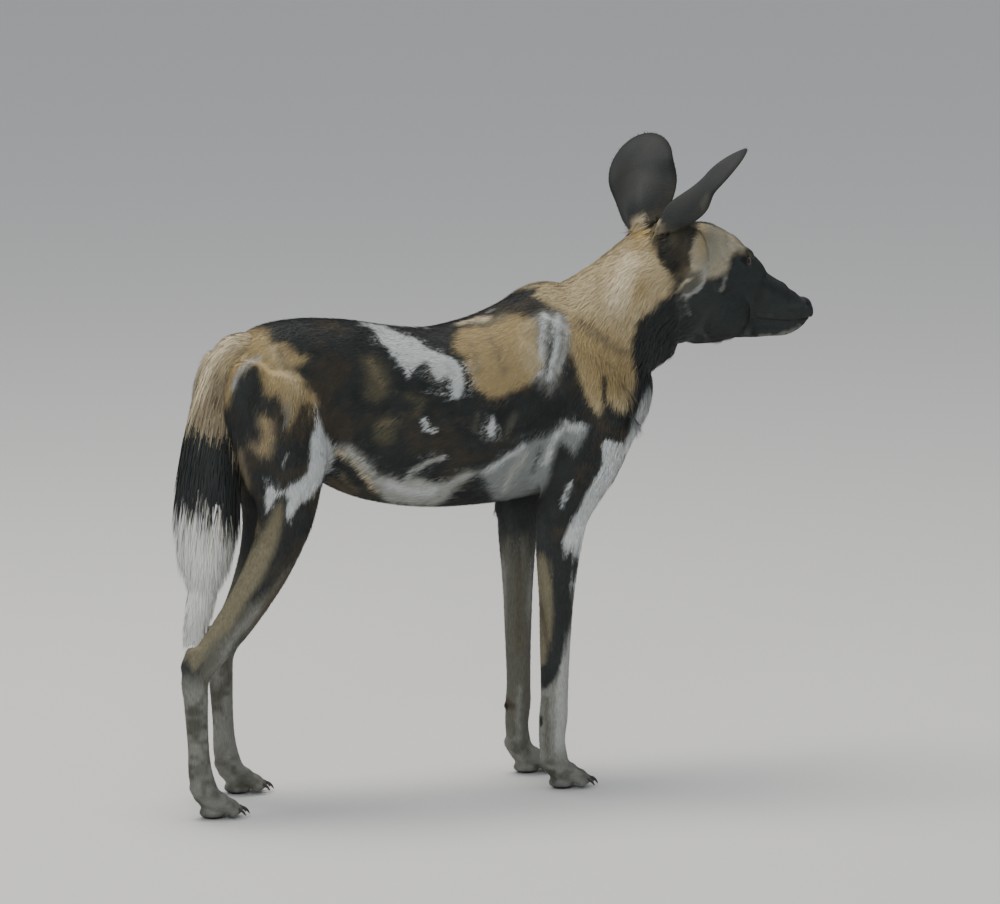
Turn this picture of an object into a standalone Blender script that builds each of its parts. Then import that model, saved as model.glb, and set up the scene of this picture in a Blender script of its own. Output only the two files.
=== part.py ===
# African wild dog, standing, life size.
# Metres, +Z up, nose towards +X, the animal's left towards +Y.
# The flesh is modelled whole from lofted forms, fused and smoothed, and is then parted with thin cuts.
# All stations are for an animal of MODEL_SHOULDER at the withers and are scaled to SHOULDER_HEIGHT.

import math
import random

import bmesh
import bpy
from mathutils import Matrix, Vector
from mathutils.bvhtree import BVHTree

# Driving sizes
SHOULDER_HEIGHT = 0.70
MODEL_SHOULDER = 0.70
GAP = 0.0003
LIFE = SHOULDER_HEIGHT / MODEL_SHOULDER

# Stance: how far apart the feet of a pair stand, and how far each foot is ahead of its pair's mean place
LEFT = 1
RIGHT = -1
FORE_TRACK = 0.063
HIND_TRACK = 0.078
LEFT_HIND_STEP = 0.098
LEFT_FORELEG_SLIM = 0.88

# Trunk stations from rump to chest: distance along, top, widest level, underside, half width
TRUNK = [
    (-0.232, 0.652, 0.600, 0.545, 0.046),
    (-0.205, 0.675, 0.598, 0.512, 0.069),
    (-0.150, 0.684, 0.590, 0.480, 0.079),
    (-0.085, 0.679, 0.575, 0.446, 0.079),
    (-0.020, 0.667, 0.560, 0.416, 0.083),
    (0.050, 0.660, 0.550, 0.401, 0.090),
    (0.120, 0.670, 0.548, 0.400, 0.095),
    (0.190, 0.694, 0.550, 0.407, 0.092),
    (0.250, 0.715, 0.558, 0.424, 0.085),
    (0.312, 0.700, 0.566, 0.450, 0.072),
    (0.359, 0.655, 0.564, 0.488, 0.051),
]

# Neck stations along its axis: along, height, half depth above and below the axis, half width
NECK = [
    (0.215, 0.590, 0.102, 0.080, 0.078),
    (0.290, 0.642, 0.074, 0.108, 0.076),
    (0.350, 0.684, 0.064, 0.116, 0.071),
    (0.398, 0.709, 0.070, 0.108, 0.067),
    (0.440, 0.716, 0.073, 0.098, 0.060),
]

# Head stations from nape to nose: along, top, widest level, underside, half width
HEAD = [
    (0.405, 0.783, 0.700, 0.625, 0.052),
    (0.430, 0.787, 0.697, 0.610, 0.062),
    (0.465, 0.784, 0.690, 0.607, 0.066),
    (0.500, 0.7655, 0.682, 0.607, 0.061),
    (0.526, 0.739, 0.675, 0.608, 0.050),
    (0.548, 0.714, 0.6645, 0.609, 0.0385),
    (0.570, 0.700, 0.655, 0.611, 0.0325),
    (0.595, 0.688, 0.648, 0.615, 0.0295),
    (0.616, 0.677, 0.648, 0.622, 0.0260),
    (0.630, 0.667, 0.650, 0.634, 0.0180),
]

# Legs of the right side as chains: along, out, height, half depth, half width
SHOULDER_BLADE = [
    (0.190, 0.050, 0.655, 0.034, 0.026),
    (0.243, 0.064, 0.600, 0.048, 0.029),
    (0.305, 0.066, 0.532, 0.044, 0.030),
]
FORELEG = [
    (0.312, 0.066, 0.530, 0.042, 0.028),
    (0.268, 0.072, 0.470, 0.052, 0.031),
    (0.232, 0.074, 0.408, 0.045, 0.029),
    (0.222, 0.073, 0.355, 0.0375, 0.0260),
    (0.220, 0.069, 0.280, 0.0290, 0.0215),
    (0.219, 0.066, 0.200, 0.0240, 0.0185),
    (0.219, 0.064, 0.135, 0.0215, 0.0180),
    (0.218, 0.063, 0.105, 0.0220, 0.0195),
    (0.216, 0.063, 0.070, 0.0200, 0.0190),
    (0.221, 0.063, 0.036, 0.0200, 0.0220),
]
ELBOW = [(0.212, 0.075, 0.400, 0.026, 0.018), (0.193, 0.073, 0.378, 0.013, 0.012)]
CARPAL_PAD = [(0.207, 0.063, 0.104, 0.010, 0.010), (0.200, 0.063, 0.098, 0.007, 0.007)]
HIND_LEG = [
    (-0.190, 0.058, 0.600, 0.058, 0.032),
    (-0.194, 0.066, 0.545, 0.070, 0.036),
    (-0.192, 0.074, 0.490, 0.068, 0.038),
    (-0.190, 0.079, 0.440, 0.050, 0.034),
    (-0.197, 0.081, 0.400, 0.042, 0.029),
    (-0.221, 0.081, 0.345, 0.036, 0.025),
    (-0.258, 0.080, 0.287, 0.0310, 0.0210),
    (-0.296, 0.079, 0.240, 0.0255, 0.0185),
    (-0.324, 0.078, 0.205, 0.0230, 0.0180),
    (-0.325, 0.078, 0.165, 0.0190, 0.0165),
    (-0.322, 0.078, 0.105, 0.0165, 0.0155),
    (-0.319, 0.078, 0.065, 0.0180, 0.0178),
    (-0.311, 0.078, 0.036, 0.0190, 0.0215),
]
HEEL = [(-0.328, 0.079, 0.236, 0.014, 0.012), (-0.341, 0.078, 0.214, 0.010, 0.010)]
BUTTOCK = [(-0.232, 0.052, 0.618, 0.032, 0.026), (-0.243, 0.060, 0.570, 0.034, 0.030),
           (-0.236, 0.068, 0.515, 0.030, 0.028)]

# A paw, from its centre under the leg: four toes, the two middle ones longer
TOE_OUTS = (-0.0185, -0.0068, 0.0068, 0.0185)
TOE_REACHES = (0.036, 0.047, 0.047, 0.036)
TOE_RADIUS = 0.0092
PAD_SINK = 0.0016
CLAW_LENGTH = 0.0135
CLAW_RADIUS = 0.0029

# Head details
EYE_RADIUS = 0.0105
EYE = Vector((0.5190, 0.0385, 0.7285))
EAR_HALF_WIDTH = 0.053
EAR_ABOVE = 0.056
EAR_BELOW = 0.110
EAR_ROOT = Vector((0.432, 0.056, 0.762))
EAR_SET_BACK = 0.030
EAR_THICK = 0.0034
EAR_DEPTH = 0.046
EAR_BACK_SET = 0.026
EAR_ANGLES = [(LEFT, "left", 45, 25, 23), (RIGHT, "right", 26, 8, 28)]

# Tail: its axis from the rump to the tip of the core, with the radius of the core
TAIL = [
    (-0.200, 0.640, 0.021),
    (-0.234, 0.636, 0.023),
    (-0.254, 0.600, 0.0215),
    (-0.264, 0.550, 0.0205),
    (-0.271, 0.490, 0.0215),
    (-0.276, 0.425, 0.0225),
    (-0.281, 0.355, 0.0200),
    (-0.291, 0.290, 0.0110),
]
LOCK_SUNK = 0.0040
LOCK_RIDGE = 0.0036
TAIL_LOCKS = 60
TAIL_TIP_HEIGHT = 0.222

COAT_TAN = (0.50, 0.34, 0.17)
COAT_BLACK = (0.030, 0.030, 0.032)
COAT_WHITE = (0.72, 0.71, 0.68)
COAT_GREY = (0.15, 0.14, 0.13)
EYE_BROWN = (0.07, 0.035, 0.015)


def clear_scene():
    for obj in list(bpy.data.objects):
        bpy.data.objects.remove(obj, do_unlink=True)


def material(name, colour, roughness):
    made = bpy.data.materials.new(name)
    made.use_nodes = True
    shader = made.node_tree.nodes["Principled BSDF"]
    shader.inputs["Base Color"].default_value = (*colour, 1.0)
    shader.inputs["Roughness"].default_value = roughness
    shader.inputs["Metallic"].default_value = 0.0
    return made


def new_object(name, bm):
    mesh = bpy.data.meshes.new(name)
    bmesh.ops.recalc_face_normals(bm, faces=bm.faces)
    bm.to_mesh(mesh)
    bm.free()
    obj = bpy.data.objects.new(name, mesh)
    bpy.context.scene.collection.objects.link(obj)
    return obj


def settle(obj):
    """Applies the object's modifiers."""
    bpy.context.view_layer.update()
    graph = bpy.context.evaluated_depsgraph_get()
    mesh = bpy.data.meshes.new_from_object(obj.evaluated_get(graph))
    obj.modifiers.clear()
    obj.data = mesh
    return obj


def catmull(rows, steps):
    """Rows of numbers joined by a smooth curve through all of them."""
    smooth = []
    last = len(rows) - 1
    for i in range(last):
        before, start = rows[max(i - 1, 0)], rows[i]
        end, after = rows[i + 1], rows[min(i + 2, last)]
        for k in range(steps):
            t = k / steps
            smooth.append([
                0.5 * (2 * b + (c - a) * t + (2 * a - 5 * b + 4 * c - d) * t * t
                       + (3 * b - 3 * c + d - a) * t ** 3)
                for a, b, c, d in zip(before, start, end, after)
            ])
    smooth.append(list(rows[last]))
    return smooth


def ring_points(centre, up, side, above, below, wide, around, fullness):
    points = []
    for k in range(around):
        angle = 2 * math.pi * k / around
        c, s = math.cos(angle), math.sin(angle)
        across = math.copysign(abs(c) ** (2 / fullness), c) * wide
        deep = math.copysign(abs(s) ** (2 / fullness), s) * (above if s > 0 else below)
        points.append(centre + side * across + up * deep)
    return points


def loft(bm, stations, around=20, steps=4, fullness=2.0, dome=0.7):
    """A closed tube through stations (x, y, z, depth above, depth below, half width), with domed ends."""
    rows = catmull([tuple(v * LIFE for v in s) for s in stations], steps)
    centres = [Vector(r[:3]) for r in rows]
    rings = []
    last = len(rows) - 1
    for i, row in enumerate(rows):
        along = (centres[min(i + 1, last)] - centres[max(i - 1, 0)]).normalized()
        side = (Vector((0, 1, 0)) - along * along.y).normalized()
        up = along.cross(side)
        above, below, wide = row[3:6]
        rings.append((centres[i], up, side, above, below, wide, along))
    shaped = []
    first_ring, last_ring = rings[0], rings[-1]
    for angle in (75, 50, 25):
        shaped.append(dome_ring(first_ring, -1, math.radians(angle), dome))
    shaped += rings
    for angle in (25, 50, 75):
        shaped.append(dome_ring(last_ring, 1, math.radians(angle), dome))
    loops = [
        [bm.verts.new(p) for p in ring_points(*ring[:6], around, fullness)] for ring in shaped
    ]
    for one, two in zip(loops, loops[1:]):
        for k in range(around):
            bm.faces.new((one[k], one[(k + 1) % around], two[(k + 1) % around], two[k]))
    bm.faces.new(loops[0][::-1])
    bm.faces.new(loops[-1])


def dome_ring(ring, way, angle, dome):
    centre, up, side, above, below, wide, along = ring
    reach = min((above + below) / 2, wide) * dome * math.sin(angle)
    shrink = math.cos(angle)
    return (centre + along * way * reach, up, side,
            above * shrink, below * shrink, wide * shrink, along)


def ball(bm, centre, radii, turn=0.0, segments=20):
    """An ellipsoid, pitched about Y by turn degrees."""
    matrix = (Matrix.Translation(Vector(centre) * LIFE)
              @ Matrix.Rotation(math.radians(turn), 4, "Y")
              @ Matrix.Diagonal((*(r * LIFE for r in radii), 1.0)))
    bmesh.ops.create_uvsphere(bm, u_segments=segments, v_segments=segments // 2,
                              radius=1.0, matrix=matrix)


def level_stations(rows):
    """Rows of (along, top, widest, underside, half width) on the midline as loft stations."""
    return [(x, 0.0, wide_at, top - wide_at, wide_at - under, half)
            for x, top, wide_at, under, half in rows]


def chain_stations(rows, side, shift=lambda height: 0.0):
    """Rows of (along, out, height, half depth, half width) on one side as loft stations."""
    return [(x + shift(z), side * y, z, deep, deep, wide) for x, y, z, deep, wide in rows]


def foreleg_stations(side):
    """The left foreleg, which carries less weight here, is the slimmer one from elbow to foot."""
    slim = LEFT_FORELEG_SLIM if side == LEFT else 1.0
    rows = [(x, y, z, deep * (slim if z < 0.40 else 1.0), wide) for x, y, z, deep, wide in FORELEG]
    return chain_stations(rows, side)


def hind_shift(side):
    """The left hind foot stands ahead of the right one. The hip stays where it is."""
    if side == RIGHT:
        return lambda height: 0.0
    hip_height, hock_height = 0.56, 0.20

    def shift(height):
        share = (hip_height - height) / (hip_height - hock_height)
        return LEFT_HIND_STEP * min(1.0, max(0.0, share))

    return shift


def paw_forms(bm, x, y):
    """The foot under a leg that comes down at x, y: metapodial end, pads and four toes."""
    loft(bm, [(x - 0.008, y, 0.050, 0.0180, 0.0180, 0.0200),
              (x + 0.006, y, 0.030, 0.0180, 0.0180, 0.0250),
              (x + 0.020, y, 0.022, 0.0165, 0.0160, 0.0255)], around=20)
    ball(bm, (x + 0.010, y, 0.0100), (0.020, 0.0185, 0.0110))
    for out, reach in zip(TOE_OUTS, TOE_REACHES):
        spread = 1 + 0.12 * abs(out) / TOE_OUTS[-1]
        loft(bm, [
            (x + 0.012, y + out * 0.8, 0.024, 0.0095, 0.0095, 0.0075),
            (x + reach * 0.62, y + out, 0.0215, 0.0105, 0.0100, 0.0082),
            (x + reach * 0.95, y + out * spread, 0.0105, TOE_RADIUS, TOE_RADIUS, 0.0080),
        ], around=14)


def torso_forms(bm):
    loft(bm, level_stations(TRUNK), around=32, fullness=2.2)


def neck_forms(bm):
    loft(bm, [(x, 0.0, z, above, below, half) for x, z, above, below, half in NECK], around=28)


def head_forms(bm):
    loft(bm, level_stations(HEAD), around=28, steps=5, fullness=2.15, dome=0.8)
    ball(bm, (0.6290, 0, 0.6560), (0.0130, 0.0160, 0.0120), turn=35)
    for side in (LEFT, RIGHT):
        loft(bm, [(0.538, side * 0.021, 0.7365, 0.011, 0.011, 0.012),
                  (0.518, side * 0.0345, 0.7405, 0.010, 0.011, 0.010),
                  (0.492, side * 0.0435, 0.7440, 0.012, 0.013, 0.010)], around=12)
        loft(bm, [(0.549, side * 0.031, 0.699, 0.010, 0.011, 0.008),
                  (0.517, side * 0.047, 0.704, 0.009, 0.010, 0.008),
                  (0.478, side * 0.062, 0.702, 0.012, 0.012, 0.009)], around=12)
        ball(bm, (0.487, side * 0.045, 0.660), (0.040, 0.025, 0.042))
        loft(bm, [(0.626, side * 0.009, 0.648, 0.010, 0.009, 0.0125),
                  (0.604, side * 0.017, 0.652, 0.014, 0.013, 0.0145),
                  (0.572, side * 0.022, 0.652, 0.014, 0.012, 0.0125)], around=14)
        loft(bm, [(0.614, side * 0.008, 0.629, 0.0070, 0.0065, 0.0110),
                  (0.590, side * 0.017, 0.625, 0.0090, 0.0080, 0.0110),
                  (0.545, side * 0.026, 0.628, 0.0100, 0.0090, 0.0100)], around=14)
        loft(bm, [(0.448, side * 0.040, 0.738, 0.024, 0.024, 0.022),
                  (0.430, side * 0.052, 0.766, 0.023, 0.023, 0.018)], around=14)
        loft(bm, [(0.418, side * 0.050, 0.786, 0.021, 0.021, 0.018),
                  (0.407, side * 0.058, 0.762, 0.025, 0.025, 0.016),
                  (0.402, side * 0.060, 0.738, 0.017, 0.017, 0.012)], around=14)


def leg_forms(bm, side):
    hind = hind_shift(side)
    loft(bm, chain_stations(SHOULDER_BLADE, side), around=20)
    loft(bm, foreleg_stations(side), around=20)
    loft(bm, chain_stations(ELBOW, side), around=14)
    loft(bm, chain_stations(CARPAL_PAD, side), around=12)
    loft(bm, chain_stations(HIND_LEG, side, hind), around=22)
    loft(bm, chain_stations(HEEL, side, hind), around=14)
    loft(bm, chain_stations(BUTTOCK, side, hind), around=18)


def fused(name, bm, voxel, smoothing, triangles):
    """Fuses overlapping forms into one smooth skin of about that many triangles."""
    obj = new_object(name, bm)
    remesh = obj.modifiers.new("Fuse", "REMESH")
    remesh.mode = "VOXEL"
    remesh.voxel_size = voxel * LIFE
    smooth = obj.modifiers.new("Smooth", "SMOOTH")
    smooth.factor = 0.5
    smooth.iterations = smoothing
    settle(obj)
    faces = sum(len(p.vertices) - 2 for p in obj.data.polygons)
    decimate = obj.modifiers.new("Thin out", "DECIMATE")
    decimate.ratio = triangles / faces
    decimate.use_collapse_triangulate = True
    return settle(obj)


def keep_largest(obj):
    """Drops every closed surface of the mesh except the one with the most volume."""
    bm = bmesh.new()
    bm.from_mesh(obj.data)
    left = set(bm.verts)
    pieces = []
    while left:
        stack = [left.pop()]
        found = set(stack)
        while stack:
            for edge in stack.pop().link_edges:
                for vert in edge.verts:
                    if vert not in found:
                        found.add(vert)
                        stack.append(vert)
        left -= found
        pieces.append(found)

    def volume(verts):
        faces = {f for v in verts for f in v.link_faces}
        return sum(f.verts[0].co.dot(f.verts[i].co.cross(f.verts[i + 1].co))
                   for f in faces for i in range(1, len(f.verts) - 1))

    pieces.sort(key=volume)
    scraps = [v for piece in pieces[:-1] for v in piece]
    bmesh.ops.delete(bm, geom=scraps, context="VERTS")
    bm.to_mesh(obj.data)
    bm.free()
    return obj


def cut_by(obj, other, operation, solver="EXACT"):
    boolean = obj.modifiers.new("Cut", "BOOLEAN")
    boolean.operation = operation
    boolean.solver = solver
    boolean.object = other
    settle(obj)
    return keep_largest(obj)


def union_all(obj, pieces):
    """Joins the pieces to the object in one Boolean and removes them."""
    group = bpy.data.collections.new("Joined to " + obj.name)
    bpy.context.scene.collection.children.link(group)
    for piece in pieces:
        bpy.context.scene.collection.objects.unlink(piece)
        group.objects.link(piece)
    boolean = obj.modifiers.new("Join", "BOOLEAN")
    boolean.operation = "UNION"
    boolean.solver = "MANIFOLD"
    boolean.operand_type = "COLLECTION"
    boolean.collection = group
    settle(obj)
    for piece in pieces:
        bpy.data.objects.remove(piece, do_unlink=True)
    bpy.data.collections.remove(group)
    return keep_largest(obj)


def copy_of(obj, name):
    made = bpy.data.objects.new(name, obj.data.copy())
    bpy.context.scene.collection.objects.link(made)
    return made


def swollen(obj, gap):
    """A copy grown by the gap, to cut a neighbour clear of the object."""
    made = copy_of(obj, obj.name + " grown")
    displace = made.modifiers.new("Grow", "DISPLACE")
    displace.strength = gap
    displace.mid_level = 0.0
    return settle(made)


def remove(*objects):
    for obj in objects:
        bpy.data.objects.remove(obj, do_unlink=True)


def part_at(obj, point, normal, keep_front):
    """Cuts the mesh at a plane and keeps one side, half a gap short of it, with a flat face."""
    normal = Vector(normal).normalized()
    way = 1 if keep_front else -1
    bm = bmesh.new()
    bm.from_mesh(obj.data)
    cut = bmesh.ops.bisect_plane(
        bm, geom=bm.verts[:] + bm.edges[:] + bm.faces[:], dist=1e-7,
        plane_co=Vector(point) * LIFE + normal * way * GAP / 2, plane_no=normal,
        clear_inner=keep_front, clear_outer=not keep_front)
    rim = [e for e in cut["geom_cut"] if isinstance(e, bmesh.types.BMEdge)]
    filled = bmesh.ops.contextual_create(bm, geom=rim)
    if not filled["faces"]:
        filled = bmesh.ops.holes_fill(bm, edges=rim)
    bmesh.ops.triangulate(bm, faces=filled["faces"])
    bmesh.ops.recalc_face_normals(bm, faces=bm.faces)
    bm.to_mesh(obj.data)
    bm.free()
    return obj


def prism(name, outline, start, end, grow):
    """A cell for parting: an outline across the body (out, height), run from start to end along it."""
    middle = Vector((sum(p[0] for p in outline), sum(p[1] for p in outline))) / len(outline)
    bm = bmesh.new()
    ends = []
    for x in (start - grow, end + grow):
        loop = []
        for out, height in outline:
            away = (Vector((out, height)) - middle).normalized() * grow * 1.5
            loop.append(bm.verts.new(Vector((x, out + away.x, height + away.y)) * LIFE))
        ends.append(loop)
    count = len(outline)
    for k in range(count):
        bm.faces.new((ends[0][k], ends[0][(k + 1) % count], ends[1][(k + 1) % count], ends[1][k]))
    bm.faces.new(ends[0][::-1])
    bm.faces.new(ends[1])
    return new_object(name, bm)


def leg_cell(side, armpit, shoulder, crotch_height, start, end, grow):
    """The space round one leg, its inner wall sloping from the midline to the armpit or groin."""
    near_midline, outer, floor = 0.003, 0.16, -0.02
    outline = [(near_midline, floor), (outer, floor), (outer, shoulder[1]), shoulder, armpit,
               (near_midline, crotch_height)]
    return prism("cell", [(side * out, height) for out, height in outline], start, end, grow)


def fore_cell(side, grow):
    return leg_cell(side, (0.045, 0.425), (0.082, 0.530), 0.385, 0.150, 0.415, grow)


def hind_cell(side, grow):
    return leg_cell(side, (0.036, 0.475), (0.076, 0.600), 0.440, -0.420, -0.108, grow)


def lock(root, normal, flow, length, width, lift, sag=0.0, seed=0.0):
    """One flat, tapered lock with a low ridge, bent along its lie, its root sunk below the surface."""
    normal, flow = Vector(normal).normalized(), Vector(flow)
    flow = (flow - normal * flow.dot(normal)).normalized()
    across = normal.cross(flow).normalized()
    sway = across * math.sin(seed * 7.3) * 0.10
    bm = bmesh.new()
    loops = []
    for share, wide, rise in ((0.0, 0.80, 0.0), (0.32, 1.0, 0.50), (0.70, 0.70, 0.90)):
        height = lift * rise if share else -LOCK_SUNK * LIFE
        centre = (root + flow * length * share + normal * height
                  + sway * length * share * share + Vector((0, 0, -sag * share * share)))
        half, ridge = width * wide / 2, LOCK_RIDGE * (1.2 - 0.5 * share) * LIFE
        loops.append([bm.verts.new(centre + across * half), bm.verts.new(centre + normal * ridge),
                      bm.verts.new(centre - across * half)])
    tip = bm.verts.new(root + flow * length + normal * lift + sway * length + Vector((0, 0, -sag)))
    for one, two in zip(loops, loops[1:]):
        for k in range(3):
            bm.faces.new((one[k], one[(k + 1) % 3], two[(k + 1) % 3], two[k]))
    for k in range(3):
        bm.faces.new((loops[-1][k], loops[-1][(k + 1) % 3], tip))
    bm.faces.new(loops[0][::-1])
    bmesh.ops.triangulate(bm, faces=bm.faces)
    return new_object("lock", bm)


def surface_of(obj):
    bm = bmesh.new()
    bm.from_mesh(obj.data)
    tree = BVHTree.FromBMesh(bm)
    bm.free()
    return tree


def lay_locks(obj, surface, rows, jitter):
    """Locks set on the object's surface. Each row: a place, the way out there, the lie, and the sizes."""
    made = []
    for number, (place, outward, flow, length, width, lift, sag) in enumerate(rows):
        start = Vector(place) * LIFE
        way = Vector(outward).normalized()
        hit, normal, _, _ = surface.ray_cast(start + way * 0.2, -way)
        if hit is None:
            continue
        turned = Vector(flow) + Vector((jitter.uniform(-0.1, 0.1), jitter.uniform(-0.1, 0.1), 0))
        size = jitter.uniform(0.85, 1.15)
        made.append(lock(hit, normal, turned, length * size * LIFE, width * LIFE, lift * LIFE,
                         sag * LIFE, number))
    return union_all(obj, made)


def tail_radius(share):
    """How far the coat stands from the axis at a share of the way down: slim root, full brush, thin tip."""
    rows = ((0.0, 0.026), (0.20, 0.029), (0.38, 0.037), (0.62, 0.047), (0.80, 0.043), (0.92, 0.027),
            (1.0, 0.006))
    for (a, one), (b, two) in zip(rows, rows[1:]):
        if share <= b:
            t = (share - a) / (b - a)
            return one + (two - one) * t * t * (3 - 2 * t)
    return rows[-1][1]


def tail_axis(share):
    rows = catmull([(x, z, r) for x, z, r in TAIL], 8)
    place = min(max(share, 0.0), 1.0) * (len(rows) - 1)
    low = min(int(place), len(rows) - 2)
    t = place - low
    return [a + (b - a) * t for a, b in zip(rows[low], rows[low + 1])]


def tail(jitter):
    """The tail: a core with locks that overlap down it to a full, pointed brush."""
    bm = bmesh.new()
    loft(bm, [(x, 0.0, z, r, r, r) for x, z, r in TAIL], around=14, steps=2)
    core = new_object("tail", bm)
    turn = math.pi * (3 - math.sqrt(5))
    made = []
    for number in range(TAIL_LOCKS):
        share = 0.17 + 0.80 * (number + 0.5) / TAIL_LOCKS
        x, z, radius = tail_axis(share)
        ahead = tail_axis(share + 0.03)
        along = Vector((0, 0, -1))
        if share < 0.96:
            along = Vector((ahead[0] - x, 0, ahead[1] - z)).normalized()
        angle = number * turn
        side = Vector((0, 1, 0))
        front = along.cross(side)
        out = side * math.cos(angle) + front * math.sin(angle)
        length = 0.060 + 0.045 * min(1.0, share / 0.6) * jitter.uniform(0.85, 1.1)
        reach_share = min(1.0, share + length / 0.47)
        lowest = TAIL_TIP_HEIGHT + 0.03 * jitter.random()
        length = min(length, max(0.03, z - lowest))
        lift = max(0.006, tail_radius(reach_share) - radius * 0.75) * jitter.uniform(0.85, 1.05)
        root = Vector((x, 0, z)) * LIFE + out * (radius - 0.003) * LIFE
        made.append(lock(root, out, along, length * LIFE, 0.027 * LIFE, lift * LIFE, 0.004, number))
    return union_all(core, made)


def ear_outline(angle):
    """How far the rim is from the widest level's middle: round above, drawn down to the root below."""
    c, s = math.cos(angle), math.sin(angle)
    return 1 / math.hypot(c / EAR_HALF_WIDTH, s / (EAR_ABOVE if s > 0 else EAR_BELOW))


def ear_relief(across, up):
    """How far forward the ear stands: a shallow bowl that deepens to a funnel below, its tip bent over."""
    low = min(1.0, max(0.0, (-0.003 - up) / 0.07))
    bowl = (6.0 + 20.0 * low * low * (3 - 2 * low)) * across * across
    back = min(1.0, max(0.0, (-0.005 - up) / 0.07))
    back = EAR_BACK_SET * back * back * (3 - 2 * back)
    return EAR_DEPTH * math.tanh(bowl / EAR_DEPTH) - back + 5.5 * max(0.0, up + 0.023) ** 2


def ear(name, side, outward, lean, nod):
    """One round ear, a thin cupped shell, turned outward, leaned out and nodded by angles in degrees."""
    rings = (0.30, 0.58, 0.82, 1.0)
    around = 26
    bm = bmesh.new()
    shells = []
    for way in (0.5, -0.5):
        shell = [[bm.verts.new((ear_relief(0, 0) + way * EAR_THICK, 0, 0))]]
        for share in rings:
            loop = []
            for k in range(around):
                angle = 2 * math.pi * k / around
                reach = ear_outline(angle) * share
                across, up = reach * math.cos(angle), reach * math.sin(angle)
                thick = EAR_THICK * (1.0 - 0.45 * share ** 4)
                loop.append(bm.verts.new((ear_relief(across, up) + way * thick, across, up)))
            shell.append(loop)
        shells.append(shell)
    for k in range(around):
        n = (k + 1) % around
        for shell in shells:
            bm.faces.new((shell[0][0], shell[1][k], shell[1][n]))
            for one, two in zip(shell[1:], shell[2:]):
                bm.faces.new((one[k], two[k], two[n]))
                bm.faces.new((one[k], two[n], one[n]))
        one, two = shells[0][-1], shells[1][-1]
        bm.faces.new((one[k], two[k], two[n]))
        bm.faces.new((one[k], two[n], one[n]))
    root = Vector((EAR_ROOT.x, side * EAR_ROOT.y, EAR_ROOT.z)) * LIFE
    turn = (Matrix.Rotation(math.radians(side * outward), 4, "Z")
            @ Matrix.Rotation(math.radians(-side * lean), 4, "X")
            @ Matrix.Rotation(math.radians(nod), 4, "Y"))
    stand = Matrix.Translation(Vector((-EAR_SET_BACK, 0, EAR_BELOW * 0.90)) * LIFE)
    bmesh.ops.transform(bm, verts=bm.verts,
                        matrix=Matrix.Translation(root) @ turn @ stand @ Matrix.Scale(LIFE, 4))
    return new_object(name, bm)


def tube(name, points, radii, around=8):
    """A round, closed tube through free points, its ends tapered to the given radii."""
    bm = bmesh.new()
    loops = []
    last = len(points) - 1
    for i, (point, radius) in enumerate(zip(points, radii)):
        along = (points[min(i + 1, last)] - points[max(i - 1, 0)]).normalized()
        side = along.orthogonal().normalized()
        if loops:
            side = (side_before - along * side_before.dot(along)).normalized()
        side_before = side
        other = along.cross(side)
        loops.append([bm.verts.new(point + (side * math.cos(2 * math.pi * k / around)
                                            + other * math.sin(2 * math.pi * k / around)) * radius)
                      for k in range(around)])
    for one, two in zip(loops, loops[1:]):
        for k in range(around):
            bm.faces.new((one[k], one[(k + 1) % around], two[(k + 1) % around], two[k]))
    bm.faces.new(loops[0][::-1])
    bm.faces.new(loops[-1])
    bmesh.ops.triangulate(bm, faces=bm.faces)
    return new_object(name, bm)


def eyeball(name, side):
    bm = bmesh.new()
    centre = Vector((EYE.x, side * EYE.y, EYE.z)) * LIFE
    bmesh.ops.create_uvsphere(bm, u_segments=12, v_segments=7, radius=EYE_RADIUS * LIFE,
                              matrix=Matrix.Translation(centre))
    bmesh.ops.triangulate(bm, faces=bm.faces)
    return new_object(name, bm)


def lids(side):
    """Upper and lower lid as slim bows round the open eye."""
    centre = Vector((EYE.x, side * EYE.y, EYE.z)) * LIFE
    look = Vector((0.62, side * 0.76, 0.10)).normalized()
    across = Vector((0, 0, 1)).cross(look).normalized()
    up = look.cross(across)
    made = []
    for rise, thick in ((0.62, 0.0031), (-0.52, 0.0024)):
        points, radii = [], []
        for k in range(7):
            t = -1 + k / 3
            height = rise * (1 - t * t) * 0.95 - 0.10 * t * side
            out = math.sqrt(max(0.05, 1 - (t * 0.93) ** 2 - height ** 2))
            place = across * t * 0.93 + up * height + look * out
            points.append(centre + place * EYE_RADIUS * 1.04 * LIFE)
            radii.append(thick * (1.0 - 0.35 * t * t) * LIFE)
        made.append(tube("lid", points, radii, around=6))
    return made


def nostril(side):
    """The cutter of one nostril: a short curved channel, open to the front and swept out to the side."""
    points = [Vector((0.6470, side * 0.0055, 0.6575)), Vector((0.6390, side * 0.0068, 0.6560)),
              Vector((0.6320, side * 0.0105, 0.6525)), Vector((0.6290, side * 0.0175, 0.6495))]
    radii = (0.0036, 0.0034, 0.0024, 0.0013)
    return tube("nostril", [p * LIFE for p in points], [r * LIFE for r in radii])


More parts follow.
